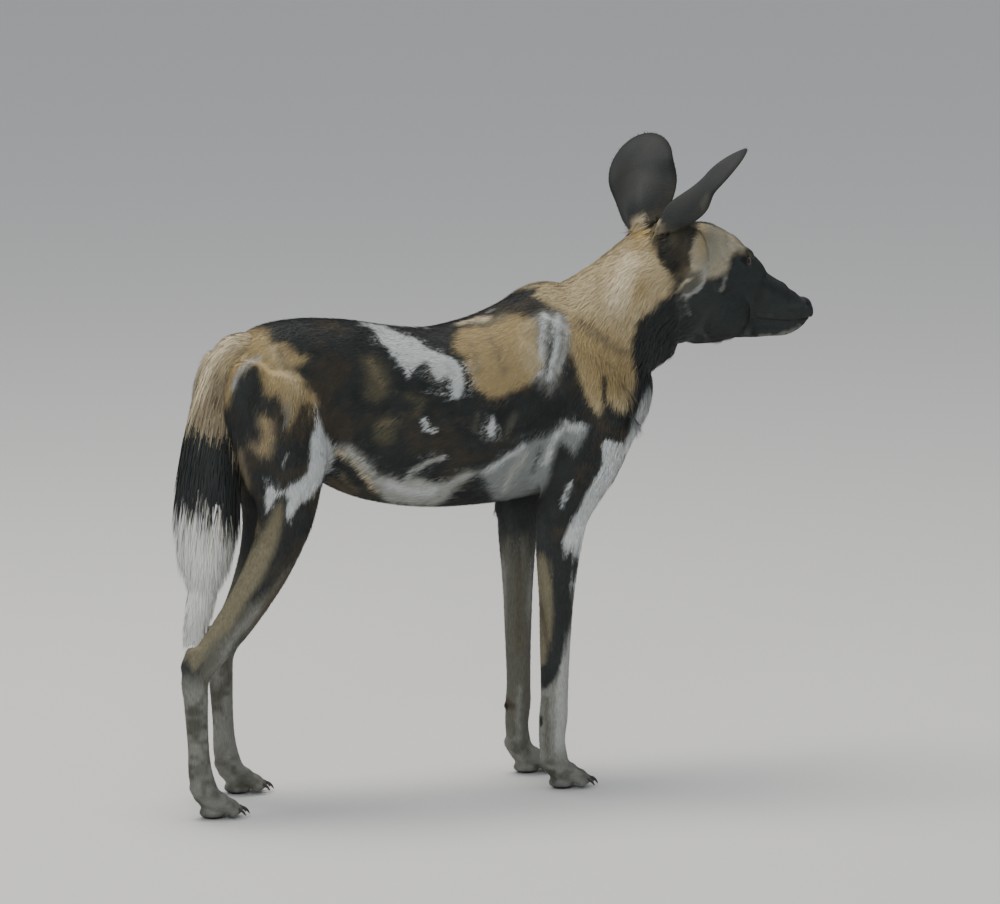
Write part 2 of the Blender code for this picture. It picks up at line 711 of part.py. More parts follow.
def mouth_line(head_surface):
    """The cutter of the mouth: a groove that follows the muzzle round from corner to corner."""
    corner, level, front = 0.538, 0.6385, 0.628
    points = []
    for k in range(17):
        t = -1 + k / 8
        x = front - (front - corner) * abs(t) ** 1.6
        rise = 0.008 * max(0.0, abs(t) - 0.55) / 0.45
        start = Vector((x - 0.012 * (1 - abs(t)) ** 2, 0, level + rise)) * LIFE
        ahead, aside = max(0.0, 1 - abs(t) * 2.2), math.copysign(min(1.0, abs(t) * 4), t)
        way = Vector((ahead, aside, 0)).normalized()
        hit, _, _, _ = head_surface.ray_cast(start + way * 0.08, -way)
        points.append(hit if hit is not None else start)
    radii = [0.0014 * LIFE * (0.35 if k in (0, 16) else 1.0) for k in range(17)]
    return tube("mouth", points, radii, around=5)


def claws(x, y):
    """Four short curved claws ahead of the toes, clear of the floor."""
    made = []
    for out, reach in zip(TOE_OUTS, TOE_REACHES):
        spread = 1 + 0.12 * abs(out) / TOE_OUTS[-1]
        root = Vector((x + reach + 0.001, y + out * spread, 0.0135))
        points = [root, root + Vector((0.006, 0, 0.0005)), root + Vector((0.0115, 0, -0.0030)),
                  root + Vector((CLAW_LENGTH + 0.002, 0, -0.0085))]
        made.append(tube("claw", [p * LIFE for p in points],
                         [CLAW_RADIUS * LIFE * share for share in (1.0, 0.9, 0.62, 0.18)], around=6))
    return made


def body_skin():
    bm = bmesh.new()
    torso_forms(bm)
    neck_forms(bm)
    head_forms(bm)
    for side in (LEFT, RIGHT):
        leg_forms(bm, side)
    return fused("body", bm, voxel=0.0050, smoothing=7, triangles=3560)


def head_skin():
    bm = bmesh.new()
    head_forms(bm)
    neck_forms(bm)
    return fused("head", bm, voxel=0.0028, smoothing=6, triangles=1900)


def foot_skin(name, side, hind):
    """The lower leg and its paw, finer than the body, with its soles cut flat on the floor."""
    bm = bmesh.new()
    shift = hind_shift(side)
    if hind:
        loft(bm, chain_stations(HIND_LEG[6:], side, shift), around=18)
        loft(bm, chain_stations(HEEL, side, shift), around=12)
        x, y = HIND_LEG[-1][0] + shift(0), side * HIND_TRACK
    else:
        loft(bm, foreleg_stations(side)[5:], around=18)
        loft(bm, chain_stations(CARPAL_PAD, side), around=12)
        x, y = FORELEG[-1][0], side * FORE_TRACK
    paw_forms(bm, x, y)
    obj = fused(name, bm, voxel=0.0023, smoothing=3, triangles=440)
    union_all(obj, claws(x, y))
    part_at(obj, (0, 0, PAD_SINK - GAP / 2), (0, 0, 1), True)
    return keep_largest(obj)


def neck_ruff():
    """Rows for the ruff: long hair down the sides of the neck, longest and hanging under the throat."""
    rows = []
    for ring in range(3):
        along = ring / 2
        x, z = 0.414 - 0.080 * along, 0.695 - 0.050 * along
        for step in range(-5, 6):
            swing = math.radians(step * 30.0 + (15.0 if ring % 2 else 0))
            under = max(0.0, math.cos(swing))
            out = math.sin(swing)
            outward = (0.42 * math.cos(swing), out, -0.90 * math.cos(swing))
            flow = (-0.80 + 0.55 * under, 0.10 * out, -0.60 - 0.25 * under)
            length = 0.040 + 0.012 * under
            lift = 0.007 + 0.007 * under
            rows.append(((x, 0.0, z), outward, flow, length * 1.1, 0.026, lift, 0.005))
    return rows


def chest_tuft():
    """Rows for the pale tuft on the breast."""
    rows = []
    for level in range(4):
        for step in range(-2, 3):
            outward = (1.0, 0.28 * step, 0.05 - 0.10 * level)
            rows.append(((0.33, 0.010 * step, 0.560 - 0.026 * level), outward,
                         (-0.28, 0.05 * step, -1.0), 0.046, 0.017, 0.010, 0.004))
    return rows


def cheek_tufts():
    """Rows for the tufts that stand back from each cheek, below the ear."""
    rows = []
    for side in (LEFT, RIGHT):
        for level in range(4):
            height = 0.722 - 0.026 * level
            for step in range(2):
                rows.append(((0.466 + 0.016 * step, 0.0, height), (-0.15, side, -0.05 * level),
                             (-1.0, 0.0, -0.25 - 0.12 * level), 0.033, 0.020, 0.007, 0.004))
    return rows


def make_nodes():
    jitter = random.Random(11)
    body = body_skin()
    head = head_skin()
    nodes = {}

    neck_back = ((0.245, 0, 0.720), (0.80, 0, 0.60))
    neck_front = ((0.415, 0, 0.790), (0.955, 0, 0.297))
    torso = part_at(copy_of(body, "torso"), *neck_back, keep_front=False)
    neck = part_at(copy_of(body, "neck"), *neck_back, keep_front=True)
    neck = keep_largest(part_at(neck, *neck_front, keep_front=False))
    head_node = keep_largest(part_at(head, *neck_front, keep_front=True))

    for side, word in ((LEFT, "left"), (RIGHT, "right")):
        for cell, leg, hind in ((fore_cell, "foreleg", False), (hind_cell, "hindleg", True)):
            inner, outer = cell(side, -GAP / 2), cell(side, GAP / 2)
            limb = copy_of(body, f"{leg}_{word}")
            cut_by(limb, inner, "INTERSECT")
            cut_by(torso, outer, "DIFFERENCE")
            remove(inner, outer)
            knee = ((0, 0, 0.150), (0, 0, 1))
            part_at(limb, *knee, keep_front=True)
            nodes[limb.name] = keep_largest(limb)
            foot = foot_skin(f"{'hindfoot' if hind else 'forefoot'}_{word}", side, hind)
            part_at(foot, *knee, keep_front=False)
            nodes[foot.name] = keep_largest(foot)
    remove(body)

    nodes["torso"], nodes["neck"], nodes["head"] = torso, neck, head_node
    return nodes, jitter


def finish_head(nodes):
    head = nodes["head"]
    surface = surface_of(head)
    for side, word, outward, lean, nod in EAR_ANGLES:
        shell = ear(f"ear_{word}", side, outward, lean, nod)
        for flesh in (head, nodes["neck"]):
            grown = swollen(flesh, GAP)
            cut_by(shell, grown, "DIFFERENCE", "MANIFOLD")
            remove(grown)
        nodes[shell.name] = shell
    union_all(head, lids(LEFT) + lids(RIGHT))
    cutters = [nostril(LEFT), nostril(RIGHT), mouth_line(surface)]
    for side, word in ((LEFT, "left"), (RIGHT, "right")):
        eye = eyeball(f"eye_{word}", side)
        cutters.append(swollen(eye, GAP))
        nodes[eye.name] = eye
    for cutter in cutters:
        cut_by(head, cutter, "DIFFERENCE")
    remove(*cutters)


def clear_of(obj, others):
    """Trims the object's hair back from its neighbours, a little inside the gap between their faces."""
    for other in others:
        grown = swollen(other, GAP * 0.8)
        cut_by(obj, grown, "DIFFERENCE", "MANIFOLD")
        cut_by(obj, other, "DIFFERENCE", "MANIFOLD")
        remove(grown)
    return obj


def finish_coat(nodes, jitter):
    """The long hair: cheek tufts, ruff, breast tuft and the tail."""
    legs = [obj for name, obj in nodes.items() if "leg" in name]
    ears = [nodes["ear_left"], nodes["ear_right"]]
    head, neck, torso = nodes["head"], nodes["neck"], nodes["torso"]
    lay_locks(head, surface_of(head), cheek_tufts(), jitter)
    clear_of(head, [neck] + ears)
    lay_locks(neck, surface_of(neck), neck_ruff(), jitter)
    clear_of(neck, [head, torso] + legs + ears)
    lay_locks(torso, surface_of(torso), chest_tuft(), jitter)
    clear_of(torso, [neck] + legs)
    nodes["tail"] = tail(jitter)
    clear_of(nodes["tail"], [torso] + legs)


def centre_on_floor(nodes):
    """Moves the animal so that its middle is over the origin and its soles are on the floor."""
    points = [v.co for obj in nodes.values() for v in obj.data.vertices]
    low = Vector([min(p[k] for p in points) for k in range(3)])
    high = Vector([max(p[k] for p in points) for k in range(3)])
    shift = Vector((-(low.x + high.x) / 2, -(low.y + high.y) / 2, -low.z))
    print("shift", shift, "size", high - low)
    for obj in nodes.values():
        obj.data.transform(Matrix.Translation(shift))


def paint(nodes):
    coats = {
        "coat_tan": material("coat_tan", COAT_TAN, 0.85),
        "coat_black": material("coat_black", COAT_BLACK, 0.80),
        "coat_white": material("coat_white", COAT_WHITE, 0.85),
        "coat_grey": material("coat_grey", COAT_GREY, 0.80),
        "eye_brown": material("eye_brown", EYE_BROWN, 0.12),
    }
    worn = {"neck": "coat_tan", "head": "coat_black", "torso": "coat_black", "tail": "coat_white"}
    for name, obj in nodes.items():
        if name.startswith("ear"):
            slot = "coat_grey"
        elif name.startswith("eye"):
            slot = "eye_brown"
        elif "foot" in name:
            slot = "coat_grey"
        elif "leg" in name:
            slot = "coat_tan"
        else:
            slot = worn[name]
        obj.data.materials.clear()
        obj.data.materials.append(coats[slot])


def main():
    clear_scene()
    nodes, jitter = make_nodes()
    finish_head(nodes)
    finish_coat(nodes, jitter)
    centre_on_floor(nodes)
    paint(nodes)
    for name, obj in nodes.items():
        print(name, sum(len(p.vertices) - 2 for p in obj.data.polygons))


main()
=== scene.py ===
import math
import time

import bmesh
import bpy
import numpy as np
from mathutils import Matrix, Vector


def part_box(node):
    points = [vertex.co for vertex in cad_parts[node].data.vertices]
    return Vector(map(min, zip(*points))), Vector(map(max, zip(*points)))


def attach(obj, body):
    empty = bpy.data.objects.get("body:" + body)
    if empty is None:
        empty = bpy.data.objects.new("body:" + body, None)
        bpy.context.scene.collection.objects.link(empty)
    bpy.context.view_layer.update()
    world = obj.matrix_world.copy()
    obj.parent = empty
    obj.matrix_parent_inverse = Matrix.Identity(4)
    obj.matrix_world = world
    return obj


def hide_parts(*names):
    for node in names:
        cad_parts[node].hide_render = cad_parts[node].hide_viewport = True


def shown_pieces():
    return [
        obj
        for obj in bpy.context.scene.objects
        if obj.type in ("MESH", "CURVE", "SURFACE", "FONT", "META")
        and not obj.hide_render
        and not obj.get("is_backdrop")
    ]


started = time.time()
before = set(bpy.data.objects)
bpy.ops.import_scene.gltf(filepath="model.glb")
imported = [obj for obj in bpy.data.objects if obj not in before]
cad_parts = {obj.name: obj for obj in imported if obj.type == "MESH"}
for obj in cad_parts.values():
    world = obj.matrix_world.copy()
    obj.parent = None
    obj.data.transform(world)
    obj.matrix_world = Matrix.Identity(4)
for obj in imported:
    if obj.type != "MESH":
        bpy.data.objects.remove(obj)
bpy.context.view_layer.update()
bpy.ops.object.select_all(action="DESELECT")

right, left = -1, 1  # the animal's own sides along Y
eyePlace = Vector((0.519, 0.0385, 0.7285))  # where the drawing has the left eye
eyeLow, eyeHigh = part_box("eye_left")
origin = (eyeLow + eyeHigh) / 2 - eyePlace  # from the drawing to the frame
floorLevel = 0.0002 - origin.z  # just over the floor, in the drawing
rng = np.random.default_rng(7)


def report(stage):
    print(f"{stage}: {time.time() - started:.0f} s")


# small helpers

def smoothStep(value, low, high):
    share = np.clip((value - low) / (high - low), 0, 1)
    return share * share * (3 - 2 * share)


def unit(vectors):
    return vectors / np.maximum(np.linalg.norm(vectors, axis=-1, keepdims=True), 1e-9)


def lattice(cells, seed):  # a number from 0 to 1 for each cell, the same every run
    mixed = (cells[:, 0] * 73856093) ^ (cells[:, 1] * 19349663) ^ (cells[:, 2] * 83492791) ^ (seed * 26544357)
    mixed = ((mixed ^ (mixed >> 13)) & 0x7FFFFFFF) * 1274126177
    mixed = ((mixed ^ (mixed >> 15)) & 0x7FFFFFFF) * 668265263
    return ((mixed ^ (mixed >> 16)) & 0xFFFFF) / 1048575.0


def noiseAt(points, size, seed):  # smooth noise from -1 to 1, with features of that size in metres
    scaled = points / size
    cell = np.floor(scaled).astype(np.int64)
    t = scaled - cell
    t = t * t * (3 - 2 * t)
    total = np.zeros(len(points))
    for dx in (0, 1):
        for dy in (0, 1):
            for dz in (0, 1):
                weight = (t[:, 0] if dx else 1 - t[:, 0]) * (t[:, 1] if dy else 1 - t[:, 1])
                weight = weight * (t[:, 2] if dz else 1 - t[:, 2])
                total += weight * lattice(cell + np.array([dx, dy, dz]), seed)
    return total * 2 - 1


def folded(points):  # the same place on the left side
    return points * np.array([1, 0, 1]) + np.abs(points[:, 1:2]) * np.array([0, 1, 0])


def onSide(place, side):
    return Vector((place[0], side * place[1], place[2]))


def activate(obj):
    bpy.ops.object.select_all(action="DESELECT")
    obj.select_set(True)
    bpy.context.view_layer.objects.active = obj


def applyAll(obj):
    activate(obj)
    for modifier in list(obj.modifiers):
        bpy.ops.object.modifier_apply(modifier=modifier.name)
    return obj


def objectFrom(name, bm):
    bmesh.ops.recalc_face_normals(bm, faces=bm.faces)
    mesh = bpy.data.meshes.new(name)
    bm.to_mesh(mesh)
    bm.free()
    obj = bpy.data.objects.new(name, mesh)
    bpy.context.scene.collection.objects.link(obj)
    return obj


def drop(*objects):
    for obj in objects:
        bpy.data.objects.remove(obj, do_unlink=True)


def pointsOf(obj):
    flat = np.empty(len(obj.data.vertices) * 3)
    obj.data.vertices.foreach_get("co", flat)
    return flat.reshape(-1, 3)


def setPoints(obj, points):
    obj.data.vertices.foreach_set("co", points.astype(np.float32).ravel())
    obj.data.update()


def normalsOf(obj):
    flat = np.empty(len(obj.data.vertices) * 3, np.float32)
    obj.data.vertex_normals.foreach_get("vector", flat)
    return flat.reshape(-1, 3).astype(float)


def weightGroup(obj, name, weights):  # a vertex group from an array, in twenty steps
    group = obj.vertex_groups.new(name=name)
    steps = np.round(weights * 20).astype(int)
    for step in range(21):
        chosen = np.nonzero(steps == step)[0]
        if len(chosen):
            group.add(chosen.tolist(), step / 20, "REPLACE")


def boolean(obj, others, operation):  # joins or cuts with all the others at once, and removes them
    group = bpy.data.collections.new("tools")
    bpy.context.scene.collection.children.link(group)
    for other in others:
        bpy.context.scene.collection.objects.unlink(other)
        group.objects.link(other)
    cut = obj.modifiers.new("Cut", "BOOLEAN")
    cut.operation = operation
    cut.solver = "MANIFOLD"
    cut.operand_type = "COLLECTION"
    cut.collection = group
    applyAll(obj)
    drop(*others)
    bpy.data.collections.remove(group)


# the flesh: round forms through stations, fused and smoothed

trunk = {  # along, top, widest level, underside, half width
    "stations": [
        (-0.232, 0.652, 0.6, 0.545, 0.046), (-0.205, 0.675, 0.598, 0.512, 0.069),
        (-0.15, 0.684, 0.59, 0.48, 0.079), (-0.085, 0.679, 0.575, 0.446, 0.079),
        (-0.02, 0.667, 0.56, 0.416, 0.083), (0.05, 0.66, 0.55, 0.401, 0.09),
        (0.12, 0.67, 0.548, 0.4, 0.095), (0.19, 0.694, 0.55, 0.407, 0.092),
        (0.25, 0.715, 0.558, 0.424, 0.085), (0.312, 0.7, 0.566, 0.45, 0.072),
        (0.359, 0.655, 0.564, 0.488, 0.051)],
    "around": 40,
    "fullness": 2.2,
}
neck = {  # along, height, half depth above and below, half width
    "stations": [
        (0.215, 0.59, 0.102, 0.08, 0.078), (0.29, 0.642, 0.074, 0.108, 0.076),
        (0.35, 0.684, 0.064, 0.116, 0.071), (0.398, 0.709, 0.07, 0.108, 0.067),
        (0.44, 0.716, 0.073, 0.098, 0.06)],
    "around": 36,
}
head = {  # along, top, widest level, underside, half width
    "stations": [
        (0.405, 0.783, 0.7, 0.625, 0.052), (0.43, 0.787, 0.697, 0.61, 0.062),
        (0.465, 0.784, 0.69, 0.607, 0.066), (0.5, 0.7655, 0.682, 0.607, 0.061),
        (0.526, 0.739, 0.675, 0.608, 0.05), (0.548, 0.714, 0.6645, 0.609, 0.0385),
        (0.57, 0.7, 0.655, 0.611, 0.0325), (0.595, 0.688, 0.648, 0.615, 0.0295),
        (0.616, 0.677, 0.648, 0.622, 0.026), (0.63, 0.667, 0.65, 0.634, 0.018)],
    "around": 36, "fullness": 2.15, "dome": 0.8,
    "noseBall": (0.629, 0, 0.656), "noseRadii": (0.013, 0.016, 0.012), "noseTurn": 35,
    "eyeBulge": 0.0122,
    "browRidge": [(0.535, 0.021, 0.7335, 0.0085, 0.01), (0.518, 0.0345, 0.7405, 0.0105, 0.01),
                  (0.492, 0.0435, 0.744, 0.0125, 0.01)],
    "cheekBone": [(0.549, 0.031, 0.699, 0.0105, 0.008), (0.517, 0.047, 0.704, 0.0095, 0.008),
                  (0.478, 0.062, 0.702, 0.012, 0.009)],
    "jawMuscle": (0.487, 0.045, 0.66), "jawRadii": (0.04, 0.025, 0.042),
    "upperLip": [(0.626, 0.009, 0.648, 0.0095, 0.0125), (0.604, 0.017, 0.652, 0.0135, 0.0145),
                 (0.572, 0.022, 0.652, 0.013, 0.0125)],
    "lowerLip": [(0.614, 0.008, 0.629, 0.0068, 0.011), (0.59, 0.017, 0.625, 0.0085, 0.011),
                 (0.545, 0.026, 0.628, 0.0095, 0.01)],
    "earBase": [(0.448, 0.04, 0.738, 0.024, 0.022), (0.43, 0.052, 0.766, 0.023, 0.018)],
    "earRoot": [(0.418, 0.05, 0.786, 0.021, 0.018), (0.407, 0.058, 0.762, 0.025, 0.016),
                (0.402, 0.06, 0.738, 0.017, 0.012)],
}
legs = {  # along, out, height, half depth, half width
    "shoulderBlade": [(0.19, 0.05, 0.655, 0.034, 0.026), (0.243, 0.064, 0.6, 0.048, 0.029),
                      (0.305, 0.066, 0.532, 0.044, 0.03)],
    "foreLeg": [
        (0.312, 0.066, 0.53, 0.042, 0.028), (0.268, 0.072, 0.47, 0.052, 0.031),
        (0.232, 0.074, 0.408, 0.045, 0.029), (0.222, 0.073, 0.355, 0.0375, 0.026),
        (0.22, 0.069, 0.28, 0.029, 0.0215), (0.219, 0.066, 0.2, 0.024, 0.0185),
        (0.219, 0.064, 0.135, 0.0215, 0.018), (0.218, 0.063, 0.105, 0.022, 0.0195),
        (0.216, 0.063, 0.07, 0.02, 0.019), (0.221, 0.063, 0.036, 0.02, 0.022)],
    "elbow": [(0.212, 0.075, 0.4, 0.026, 0.018), (0.193, 0.073, 0.378, 0.013, 0.012)],
    "carpalPad": [(0.207, 0.063, 0.104, 0.01, 0.01), (0.2, 0.063, 0.098, 0.007, 0.007)],
    "hindLeg": [
        (-0.19, 0.058, 0.6, 0.058, 0.032), (-0.194, 0.066, 0.545, 0.07, 0.036),
        (-0.192, 0.074, 0.49, 0.068, 0.038), (-0.19, 0.079, 0.44, 0.05, 0.034),
        (-0.197, 0.081, 0.4, 0.042, 0.029), (-0.221, 0.081, 0.345, 0.036, 0.025),
        (-0.258, 0.08, 0.287, 0.031, 0.021), (-0.296, 0.079, 0.24, 0.0255, 0.0185),
        (-0.324, 0.078, 0.205, 0.023, 0.018), (-0.325, 0.078, 0.165, 0.019, 0.0165),
        (-0.322, 0.078, 0.105, 0.0165, 0.0155), (-0.319, 0.078, 0.065, 0.018, 0.0178),
        (-0.311, 0.078, 0.036, 0.019, 0.0215)],
    "heel": [(-0.328, 0.079, 0.236, 0.014, 0.012), (-0.341, 0.078, 0.214, 0.01, 0.01)],
    "buttock": [(-0.232, 0.052, 0.618, 0.032, 0.026), (-0.243, 0.06, 0.57, 0.034, 0.03),
                (-0.236, 0.068, 0.515, 0.03, 0.028)],
    "leftSlim": 0.88,  # the left foreleg carries less weight and is the slimmer one
    "leftHindStep": 0.098,  # how far the left hind foot stands ahead
    "stepFrom": 0.56, "stepOver": 0.36,  # the height where that step begins, and the height it takes
}
paw = {
    "palm": [(-0.008, 0.05, 0.018, 0.018, 0.02), (0.006, 0.03, 0.018, 0.018, 0.025),
             (0.02, 0.022, 0.0165, 0.016, 0.0255)],  # ahead, height, half depth above and below, half width
    "pad": (0.01, 0.01), "padRadii": (0.02, 0.0185, 0.011),
    "toeOuts": (-0.0185, -0.0068, 0.0068, 0.0185),
    "toeReaches": (0.036, 0.047, 0.047, 0.036),
}
skinBuild = {
    "voxel": 0.002,
    "bodySmoothing": 34,
    "fineSmoothing": 8,
    "keepShare": 0.26,  # how much of the mesh is kept where it is thinned
}


def throughRows(rows, steps):  # a smooth curve through rows of numbers
    rows = np.array(rows, float)
    last = len(rows) - 1
    smooth = []
    for i in range(last):
        a, b, c, d = rows[max(i - 1, 0)], rows[i], rows[i + 1], rows[min(i + 2, last)]
        for k in range(steps):
            t = k / steps
            smooth.append(0.5 * (2 * b + (c - a) * t + (2 * a - 5 * b + 4 * c - d) * t * t
                                 + (3 * b - 3 * c + d - a) * t ** 3))
    smooth.append(rows[last])
    return np.array(smooth)


def closeTube(bm, loops):  # faces between the loops and across both ends
    around = len(loops[0])
    for one, two in zip(loops, loops[1:]):
        for k in range(around):
            bm.faces.new((one[k], one[(k + 1) % around], two[(k + 1) % around], two[k]))
    bm.faces.new(loops[0][::-1])
    bm.faces.new(loops[-1])


def addTube(bm, stations, around=24, steps=6, fullness=2.0, dome=0.7):
    rows = throughRows(stations, steps)
    centres = [Vector(r[:3]) for r in rows]
    last = len(rows) - 1
    rings = []
    for i, row in enumerate(rows):
        along = (centres[min(i + 1, last)] - centres[max(i - 1, 0)]).normalized()
        side = (Vector((0, 1, 0)) - along * along.y).normalized()
        rings.append([centres[i], along, side, along.cross(side), row[3], row[4], row[5]])

    def domed(ring, way, angle):
        centre, along, side, up, above, below, wide = ring
        reach = min((above + below) / 2, wide) * dome * math.sin(angle)
        shrink = math.cos(angle)
        return [centre + along * way * reach, along, side, up, above * shrink, below * shrink, wide * shrink]

    angles = [math.radians(a) for a in (78, 60, 40, 20)]
    rings = ([domed(rings[0], -1, a) for a in angles] + rings
             + [domed(rings[-1], 1, a) for a in reversed(angles)])
    loops = []
    for centre, along, side, up, above, below, wide in rings:
        loop = []
        for k in range(around):
            c, s = math.cos(2 * math.pi * k / around), math.sin(2 * math.pi * k / around)
            across = math.copysign(abs(c) ** (2 / fullness), c) * wide
            deep = math.copysign(abs(s) ** (2 / fullness), s) * (above if s > 0 else below)
            loop.append(bm.verts.new(centre + side * across + up * deep))
        loops.append(loop)
    closeTube(bm, loops)


def addBall(bm, centre, radii, turn=0.0):
    matrix = (Matrix.Translation(Vector(centre)) @ Matrix.Rotation(math.radians(turn), 4, "Y")
              @ Matrix.Diagonal((*radii, 1.0)))
    bmesh.ops.create_uvsphere(bm, u_segments=28, v_segments=14, radius=1.0, matrix=matrix)


def levelled(stations):  # stations given by their top, widest level and underside
    return [(x, 0, mid, top - mid, mid - low, half) for x, top, mid, low, half in stations]


def sided(rows, side, shift=lambda height: 0.0):
    return [(x + shift(z), side * y, z, deep, deep, wide) for x, y, z, deep, wide in rows]


def leftStep(height):  # how far ahead the left hind leg is at a height
    return legs["leftHindStep"] * np.clip((legs["stepFrom"] - height) / legs["stepOver"], 0, 1)


def hindShift(side):
    return leftStep if side == left else lambda height: 0.0


def footPlaces(side):  # along and out, of the fore and the hind foot
    fore, hind = legs["foreLeg"][-1], legs["hindLeg"][-1]
    return (fore[0], side * fore[1]), (hind[0] + hindShift(side)(0), side * hind[1])


def toes():  # how far out each toe is, how far it reaches, how much its tip spreads
    for out, reach in zip(paw["toeOuts"], paw["toeReaches"]):
        yield out, reach, 1 + 0.12 * abs(out) / paw["toeOuts"][-1]


def addPaw(bm, x, y):
    addTube(bm, [(x + ahead, y, *rest) for ahead, *rest in paw["palm"]])
    addBall(bm, (x + paw["pad"][0], y, paw["pad"][1]), paw["padRadii"])
    for out, reach, spread in toes():
        addTube(bm, [(x + 0.012, y + out * 0.8, 0.024, 0.0092, 0.0092, 0.0074),
                     (x + reach * 0.45, y + out * 0.95, 0.024, 0.009, 0.009, 0.0076),
                     (x + reach * 0.72, y + out, 0.0195, 0.0105, 0.01, 0.0082),
                     (x + reach * 0.95, y + out * spread, 0.0105, 0.009, 0.009, 0.0078)], around=18)


def addFlesh(bm):
    addTube(bm, levelled(trunk["stations"]), around=trunk["around"], fullness=trunk["fullness"])
    addTube(bm, [(x, 0, z, up, down, half) for x, z, up, down, half in neck["stations"]], around=neck["around"])
    addTube(bm, levelled(head["stations"]), around=head["around"], fullness=head["fullness"], dome=head["dome"])
    addBall(bm, head["noseBall"], head["noseRadii"], turn=head["noseTurn"])
    for side in (left, right):
        for name in ("browRidge", "cheekBone", "upperLip", "lowerLip", "earBase", "earRoot"):
            addTube(bm, sided(head[name], side), around=18)
        addBall(bm, onSide(head["jawMuscle"], side), head["jawRadii"])
        addBall(bm, onSide(eyePlace, side), (head["eyeBulge"],) * 3)
        shift = hindShift(side)
        slim = legs["leftSlim"] if side == left else 1.0
        fore = [(x, y, z, deep * (slim if z < 0.4 else 1.0), wide) for x, y, z, deep, wide in legs["foreLeg"]]
        addTube(bm, sided(legs["shoulderBlade"], side))
        addTube(bm, sided(fore, side))
        addTube(bm, sided(legs["elbow"], side), around=16)
        addTube(bm, sided(legs["carpalPad"], side), around=14)
        for name in ("hindLeg", "heel", "buttock"):
            addTube(bm, sided(legs[name], side, shift))
        for place in footPlaces(side):
            addPaw(bm, *place)


# ears: thin cupped shells, joined to the head

ears = {
    "halfWidth": 0.053, "above": 0.056, "below": 0.11,
    "root": (0.432, 0.056, 0.762),
    "setBack": 0.03, "backSet": 0.026,  # the whole ear, and its lower part, set back
    "depth": 0.046, "flare": 6.0, "funnel": 20.0,  # how deep the bowl is, and how it closes below
    "tipCurl": 5.5, "curlFrom": 0.023, "rib": 0.0006, "ribWaves": 240,
    "fold": (0.388, 0.055, 0.779),  # the crease behind the root
    "thick": 0.0026,
    "angles": {left: (45, 25, 23), right: (26, 8, 28)},  # facing out, leaning out, nodding
    "rings": 18, "around": 66,
    "hairLong": 0.004, "hairWide": 0.0006, "hairDeep": 0.0003,
}


def earRelief(across, up):  # how far forward: a bowl above, a funnel below, the tip bent over
    low = np.clip((-0.003 - up) / 0.07, 0, 1)
    bowl = (ears["flare"] + ears["funnel"] * low * low * (3 - 2 * low)) * across * across
    back = ears["backSet"] * smoothStep(-up, 0.005, 0.075)
    curl = ears["tipCurl"] * np.maximum(0, up + ears["curlFrom"]) ** 2
    ribs = ears["rib"] * np.sin(across * ears["ribWaves"]) * smoothStep(-up, 0.01, 0.05)
    ribs = ribs * smoothStep(0.04 - np.abs(across), 0, 0.012)
    return ears["depth"] * np.tanh(bowl / ears["depth"]) - back + curl + ribs


def earMatrix(side):
    outward, lean, nod = ears["angles"][side]
    x, y, z = ears["root"]
    return (Matrix.Translation(Vector((x, side * y, z)))
            @ Matrix.Rotation(math.radians(side * outward), 4, "Z")
            @ Matrix.Rotation(math.radians(-side * lean), 4, "X")
            @ Matrix.Rotation(math.radians(nod), 4, "Y")
            @ Matrix.Translation(Vector((-ears["setBack"], 0, ears["below"] * 0.9))))


def makeEar(side):
    bm = bmesh.new()
    shells = []
    for way in (0.5, -0.5):
        shell = [[bm.verts.new((float(earRelief(0.0, 0.0)) + way * ears["thick"], 0, 0))]]
        for ring in range(1, ears["rings"] + 1):
            share = 1 - (1 - ring / ears["rings"]) ** 1.25
            loop = []
            for k in range(ears["around"]):
                c, s = math.cos(2 * math.pi * k / ears["around"]), math.sin(2 * math.pi * k / ears["around"])
                reach = share / math.hypot(c / ears["halfWidth"], s / (ears["above"] if s > 0 else ears["below"]))
                across, up = reach * c, reach * s
                thick = ears["thick"] * (1.0 - 0.5 * share ** 6)
                loop.append(bm.verts.new((float(earRelief(across, up)) + way * thick, across, up)))
            shell.append(loop)
        shells.append(shell)
    for k in range(ears["around"]):
        n = (k + 1) % ears["around"]
        for shell in shells:
            bm.faces.new((shell[0][0], shell[1][k], shell[1][n]))
            for one, two in zip(shell[1:], shell[2:]):
                bm.faces.new((one[k], two[k], two[n], one[n]))
        bm.faces.new((shells[0][-1][k], shells[1][-1][k], shells[1][-1][n], shells[0][-1][n]))
    bmesh.ops.transform(bm, verts=bm.verts, matrix=earMatrix(side))
    return objectFrom("ear", bm)


# where things are on the animal

def unshifted(points):  # the left hind leg drawn back under its hip
    moved = points.copy()
    behind = (points[:, 1] > 0.01) & (points[:, 0] < -0.03) & (points[:, 2] < legs["stepFrom"])
    moved[behind, 0] -= leftStep(points[behind, 2])
    return moved


